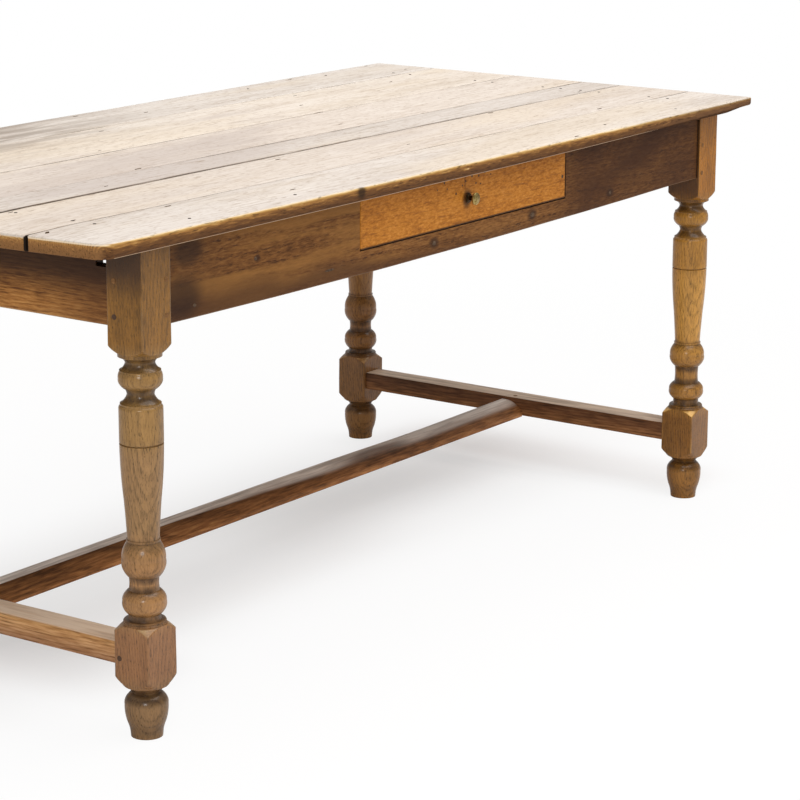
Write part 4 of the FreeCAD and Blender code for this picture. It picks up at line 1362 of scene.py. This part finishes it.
# brass knob, turned
knobLook = {
    "middle": (0.0, -0.412, 0.69325),
    "head": 0.0102,
    "sides": 48,
    "nutEdge": 0.0006,
    "brass": [(0.3, (0.19, 0.125, 0.036)), (0.5, (0.34, 0.25, 0.085)), (0.75, (0.52, 0.42, 0.18))],
    "knobDirtAndShade": (0.055, 0.032, 0.014),
}


def brassFinish():
    bench = finishBench("wornBrass")
    coarse = bench.speckle(bench.place(), scale=260, detail=3)
    fine = bench.speckle(bench.place(), scale=1400, detail=2)
    colour = bench.ramp(coarse, knobLook["brass"])
    # rubbed bright on the crown, nearly black towards the drawer with dirt and painted shade under the head
    out = bench.parts(bench.place())[1]
    colour = bench.blend(bench.span(out, -0.4255, -0.4225), colour, knobLook["knobDirtAndShade"])
    rough = bench.span(coarse, 0.3, 0.7, 0.46, 0.30)
    bench.skin.inputs["Metallic"].default_value = 1.0
    return bench.finish(colour, rough, fine, 0.12, 0.0002, shine=0.5)


def buildKnob():
    x, face, z = knobLook["middle"]
    head = knobLook["head"]
    sides = knobLook["sides"]
    # (radius, distance out from the drawer front), from the shank inside to the crown
    outline = [(0.0030, -0.0280), (0.0030, -0.0004), (0.0078, -0.0002), (0.0080, 0.0002), (0.0080, 0.0014),
               (0.0076, 0.0019), (0.0050, 0.0023), (0.0043, 0.0030), (0.0041, 0.0060), (0.0042, 0.0098),
               (0.0050, 0.0108), (0.0075, 0.0119), (head - 0.0006, 0.0130), (head, 0.0138), (head, 0.0156),
               (head - 0.0007, 0.0165), (head - 0.0026, 0.0171), (head - 0.0055, 0.0176), (0.0020, 0.0179)]
    angles = [2 * math.pi * i / sides for i in range(sides)]
    rings = [[(x + radius * math.cos(angle), face - out, z + radius * math.sin(angle)) for angle in angles]
             for radius, out in outline]
    points, faces = loft(rings)
    brass = brassFinish()
    meshPiece("drawerKnob", points, faces, brass, "drawer", "drawer_knob", 35.0)
    softenedCopy("knobNut", "drawer_knob_nut", brass, "drawer", knobLook["nutEdge"])


buildKnob()
print("knob ready")


# pegs, nails and dark marks: one stud tree, given points with an aim and a stretch
def studTree():
    tree = bpy.data.node_groups.new("scatteredStuds", "GeometryNodeTree")
    face = tree.interface
    face.new_socket("Geometry", in_out="INPUT", socket_type="NodeSocketGeometry")
    for label, kind in (("Radius", "Float"), ("Length", "Float"), ("Sides", "Int"), ("Unevenness", "Float"),
                        ("Seed", "Int"), ("Material", "Material")):
        face.new_socket(label, in_out="INPUT", socket_type="NodeSocket" + kind)
    face.new_socket("Geometry", in_out="OUTPUT", socket_type="NodeSocketGeometry")
    nodes = tree.nodes
    link = tree.links.new
    given = nodes.new("NodeGroupInput")
    result = nodes.new("NodeGroupOutput")

    def carried(name):
        node = nodes.new("GeometryNodeInputNamedAttribute")
        node.data_type = "FLOAT_VECTOR"
        node.inputs["Name"].default_value = name
        return node.outputs["Attribute"]

    # one stud, a little thinner at its outer end
    stud = nodes.new("GeometryNodeMeshCone")
    stud.fill_type = "NGON"
    stud.inputs["Side Segments"].default_value = 2
    taper = nodes.new("ShaderNodeMath")
    taper.operation = "MULTIPLY"
    taper.inputs[1].default_value = 0.93
    link(given.outputs["Radius"], taper.inputs[0])
    link(given.outputs["Sides"], stud.inputs["Vertices"])
    link(taper.outputs[0], stud.inputs["Radius Top"])
    link(given.outputs["Radius"], stud.inputs["Radius Bottom"])
    link(given.outputs["Length"], stud.inputs["Depth"])
    align = nodes.new("FunctionNodeAlignRotationToVector")
    align.axis = "Z"
    link(carried("aim"), align.inputs["Vector"])
    put = nodes.new("GeometryNodeInstanceOnPoints")
    link(given.outputs["Geometry"], put.inputs["Points"])
    link(stud.outputs["Mesh"], put.inputs["Instance"])
    link(align.outputs["Rotation"], put.inputs["Rotation"])
    link(carried("stretch"), put.inputs["Scale"])
    real = nodes.new("GeometryNodeRealizeInstances")
    link(put.outputs["Instances"], real.inputs["Geometry"])
    # no two alike: noise pushes their points about
    rough = nodes.new("ShaderNodeTexNoise")
    rough.noise_dimensions = "4D"
    rough.inputs["Scale"].default_value = 420.0
    rough.inputs["Detail"].default_value = 0.0
    link(given.outputs["Seed"], rough.inputs["W"])
    centred = nodes.new("ShaderNodeVectorMath")
    centred.operation = "SUBTRACT"
    centred.inputs[1].default_value = (0.5, 0.5, 0.5)
    link(rough.outputs["Color"], centred.inputs[0])
    sized = nodes.new("ShaderNodeVectorMath")
    sized.operation = "SCALE"
    link(centred.outputs[0], sized.inputs[0])
    link(given.outputs["Unevenness"], sized.inputs["Scale"])
    shape = nodes.new("GeometryNodeSetPosition")
    link(real.outputs[0], shape.inputs["Geometry"])
    link(sized.outputs[0], shape.inputs["Offset"])
    paint = nodes.new("GeometryNodeSetMaterial")
    link(shape.outputs[0], paint.inputs["Geometry"])
    link(given.outputs["Material"], paint.inputs["Material"])
    link(paint.outputs[0], result.inputs[0])
    return tree


studs = studTree()


def scatterStuds(name, places, settings, material, body, nodes):
    # places: (point, direction out of the wood, stretch)
    mesh = bpy.data.meshes.new(name + "Points")
    mesh.from_pydata([place[0] for place in places], [], [])
    for label, column in (("aim", 1), ("stretch", 2)):
        layer = mesh.attributes.new(label, "FLOAT_VECTOR", "POINT")
        layer.data.foreach_set("vector", [c for place in places for c in place[column]])
    carrier = bpy.data.objects.new(name + "Points", mesh)
    bpy.context.scene.collection.objects.link(carrier)
    modifier = carrier.modifiers.new("studs", "NODES")
    modifier.node_group = studs
    inputs = dict(settings, Material=material)
    for item in studs.interface.items_tree:
        if item.in_out == "INPUT" and item.name in inputs:
            modifier[item.identifier] = inputs[item.name]
    bpy.context.view_layer.update()
    graph = bpy.context.evaluated_depsgraph_get()
    plain = bpy.data.meshes.new_from_object(carrier.evaluated_get(graph))
    plain.name = name
    carrier.modifiers.remove(modifier)
    bpy.data.objects.remove(carrier)
    piece = bpy.data.objects.new(name, plain)
    bpy.context.scene.collection.objects.link(piece)
    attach(piece, body)
    if nodes:
        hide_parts(*nodes)


whole = (1.0, 1.0, 1.0)    # a stud that isn't stretched

pegLook = {
    "stud": {"Radius": 0.0045, "Length": 0.044, "Sides": 11, "Unevenness": 0.0006, "Seed": 3},
    "proud": 0.0004,
    "rises": (0.633, 0.685),
    "apronInset": 0.010,
    "railInset": 0.014,
    "stretcherLevel": 0.12275,
    "stretcherInset": 0.010,
    "centrePlace": (0.78475, -0.005),
    "centreLength": 0.030,
    "tones": [(0.3, (0.14, 0.066, 0.025)), (0.55, (0.21, 0.103, 0.036)), (0.8, (0.29, 0.150, 0.056))],
    "dirty": [(-0.829, -0.365, 0.633), (-0.829, -0.361, 0.12275)],    # these took the dirt
    "dirtyTone": (0.085, 0.048, 0.030),
    "dirtyReach": (0.02, 0.02, 0.02),
}

nailLook = {
    "stud": {"Radius": 0.0028, "Length": 0.012, "Sides": 7, "Unevenness": 0.0, "Seed": 5},
    "top": 0.7598,
    "railRow": 0.8125,
    "railReach": 0.329,
    "boardInset": 0.020,
    "apronRow": 0.399,
    "apronPlaces": (0.45, 0.70),
    "tones": [(0.3, (0.035, 0.028, 0.024)), (0.6, (0.075, 0.055, 0.042)), (0.85, (0.15, 0.085, 0.05))],
}

# marks are studs of 1 mm radius, stretched to their sizes, and all their lists are in millimetres
markLook = {
    "tones": [(0.3, (0.05, 0.032, 0.02)), (0.7, (0.14, 0.09, 0.055))],
    "nickStud": {"Radius": 0.001, "Length": 0.0026, "Sides": 14, "Unevenness": 0.0008, "Seed": 7},
    "holeStud": {"Radius": 0.001, "Length": 0.003, "Sides": 9, "Unevenness": 0.0, "Seed": 9},
    "spotSides": 11,
    "nickTop": 0.7596,
    "nickSlimness": 0.3,
    "holeFace": -0.4122,
    "spotFace": -0.4121,
    # dark nicks and filled holes on the top: x, y, length, width
    "nicks": [
        (-25, 417, 16, 5), (610, 420, 14, 5), (870, 423, 12, 5), (-133, 262, 14, 4), (427, 268, 12, 4),
        (565, 31, 16, 5), (-405, -52, 18, 5), (-197, -172, 14, 5), (455, -155, 18, 5), (792, -135, 12, 5),
        (875, 328, 10, 4), (-415, -368, 16, 5), (-810, -275, 12, 5), (-640, -309, 16, 6), (-900, -307, 8, 4),
        (305, -430, 14, 5), (620, -285, 16, 6), (-815, -159, 12, 4), (270, 96, 30, 5), (60, -250, 10, 3),
        (180, -20, 12, 3), (-300, 120, 10, 3), (330, 180, 12, 3), (700, 240, 10, 3), (90, 350, 12, 4),
        (-560, -120, 10, 3),
    ],
    # worm holes and old nail holes in the drawer front: x, z, radius
    "holes": [
        (-70, 727, 2.2), (-40, 730, 2.0), (10, 728, 2.6), (30, 726, 2.2), (48, 730, 2.4), (-36, 705, 2.2),
        (22, 715, 2.2), (-18, 716, 1.8), (290, 690, 3.4), (66, 724, 1.6), (-90, 718, 1.6), (-62, 716, 1.8),
        (36, 712, 1.6), (-8, 722, 2.0),
    ],
    # dark spots on the face of the front apron: x, z, length, height
    "spots": [
        (-707, 635, 8, 6), (-381, 634, 26, 4), (-564, 681, 7, 6), (-98, 633, 11, 8), (196, 637, 13, 9),
        (451, 640, 9, 7),
    ],
}


def pegFinish():
    bench = finishBench("pegEndGrain")
    rings = bench.speckle(bench.place(), scale=420, detail=3)
    colour = bench.ramp(rings, pegLook["tones"])
    for place in pegLook["dirty"]:
        colour = bench.blend(bench.spot(place, pegLook["dirtyReach"]), colour, pegLook["dirtyTone"])
    return bench.finish(colour, 0.6, rings, 0.3)


def ironFinish():
    bench = finishBench("oldIron")
    rust = bench.speckle(bench.place(), scale=500, detail=3)
    colour = bench.ramp(rust, nailLook["tones"])
    bench.skin.inputs["Metallic"].default_value = 0.5
    return bench.finish(colour, 0.62, rust, 0.3)


def markFinish():
    bench = finishBench("darkMark")
    dirt = bench.speckle(bench.place(), scale=300, detail=2)
    colour = bench.ramp(dirt, markLook["tones"])
    return bench.finish(colour, 0.7, dirt, 0.3)


def buildPegs():
    look = pegLook
    stud = look["stud"]
    pegs = pegFinish()
    inset = look["proud"] - stud["Length"]
    faceX = legLook["centreX"] + legLook["half"] + inset
    faceY = legLook["centreY"] + legLook["half"] + inset
    apronX = railLook["apronSpan"][1] + look["apronInset"]
    railY = railLook["railSpan"][1] + look["railInset"]
    stretcherY = stretcherLook["endSpan"][1] + look["stretcherInset"]
    upper = []
    lower = []
    for corner in legCorners.values():
        sideX, sideY = corner[:2]
        for level in look["rises"]:
            upper.append(((sideX * apronX, sideY * faceY, level), (0, sideY, 0), whole))
            upper.append(((sideX * faceX, sideY * railY, level), (sideX, 0, 0), whole))
        lower.append(((sideX * faceX, sideY * stretcherY, look["stretcherLevel"]), (sideX, 0, 0), whole))
    x, y = look["centrePlace"]
    bottom = stretcherLook["high"] - look["centreLength"]
    short = (1.0, 1.0, look["centreLength"] / stud["Length"])
    centre = [((side * x, y, bottom), (0, 0, 1), short) for side in (-1, 1)]
    scatterStuds("railPegs", upper, stud, pegs, "frame", ["rail_pegs"])
    scatterStuds("stretcherPegs", lower, stud, pegs, "frame", ["stretcher_pegs"])
    scatterStuds("centrePegs", centre, stud, pegs, "frame", ["centre_pegs"])


def nailPlaces():
    # as in the frame: two at each board end over the end rails, and four along each apron
    look = nailLook
    places = []
    for side in (-1, 1):
        for low, high in topLook["edges"]:
            for y in (low + look["boardInset"], high - look["boardInset"]):
                if abs(y) < look["railReach"]:
                    places.append((side * look["railRow"], y))
        for x in look["apronPlaces"]:
            places.append((side * x, -look["apronRow"]))
            places.append((side * x, look["apronRow"]))
    return places


def buildNails():
    iron = ironFinish()
    stud = nailLook["stud"]
    bottom = nailLook["top"] - stud["Length"]
    nails = [((x, y, bottom), (0, 0, 1), whole) for x, y in nailPlaces()]
    scatterStuds("topNails", nails, stud, iron, "frame", ["top_nails"])
    # the nails inside are shown as the frame has them
    for node in ("guide_nails", "drawer_nails"):
        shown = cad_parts[node].data
        shown.materials.clear()
        shown.materials.append(iron)


def buildMarks():
    look = markLook
    marks = markFinish()
    stud = look["nickStud"]
    bottom = look["nickTop"] - stud["Length"]
    nicks = [((x / 1000, y / 1000, bottom), (0, 0, 1), (length / 2, width * look["nickSlimness"], 1.0))
             for x, y, length, width in look["nicks"]]
    scatterStuds("topNicks", nicks, stud, marks, "frame", [])
    stud = look["holeStud"]
    back = look["holeFace"] + stud["Length"]
    holes = [((x / 1000, back, z / 1000), (0, -1, 0), (r, r, 1.0)) for x, z, r in look["holes"]]
    scatterStuds("drawerHoles", holes, stud, marks, "drawer", [])
    stud = dict(stud, Sides=look["spotSides"])
    back = look["spotFace"] + stud["Length"]
    spots = [((x / 1000, back, z / 1000), (0, -1, 0), (w / 2, h / 2, 1.0)) for x, z, w, h in look["spots"]]
    scatterStuds("apronMarks", spots, stud, marks, "frame", [])


buildPegs()
buildNails()
buildMarks()
print("pegs, nails and marks ready")
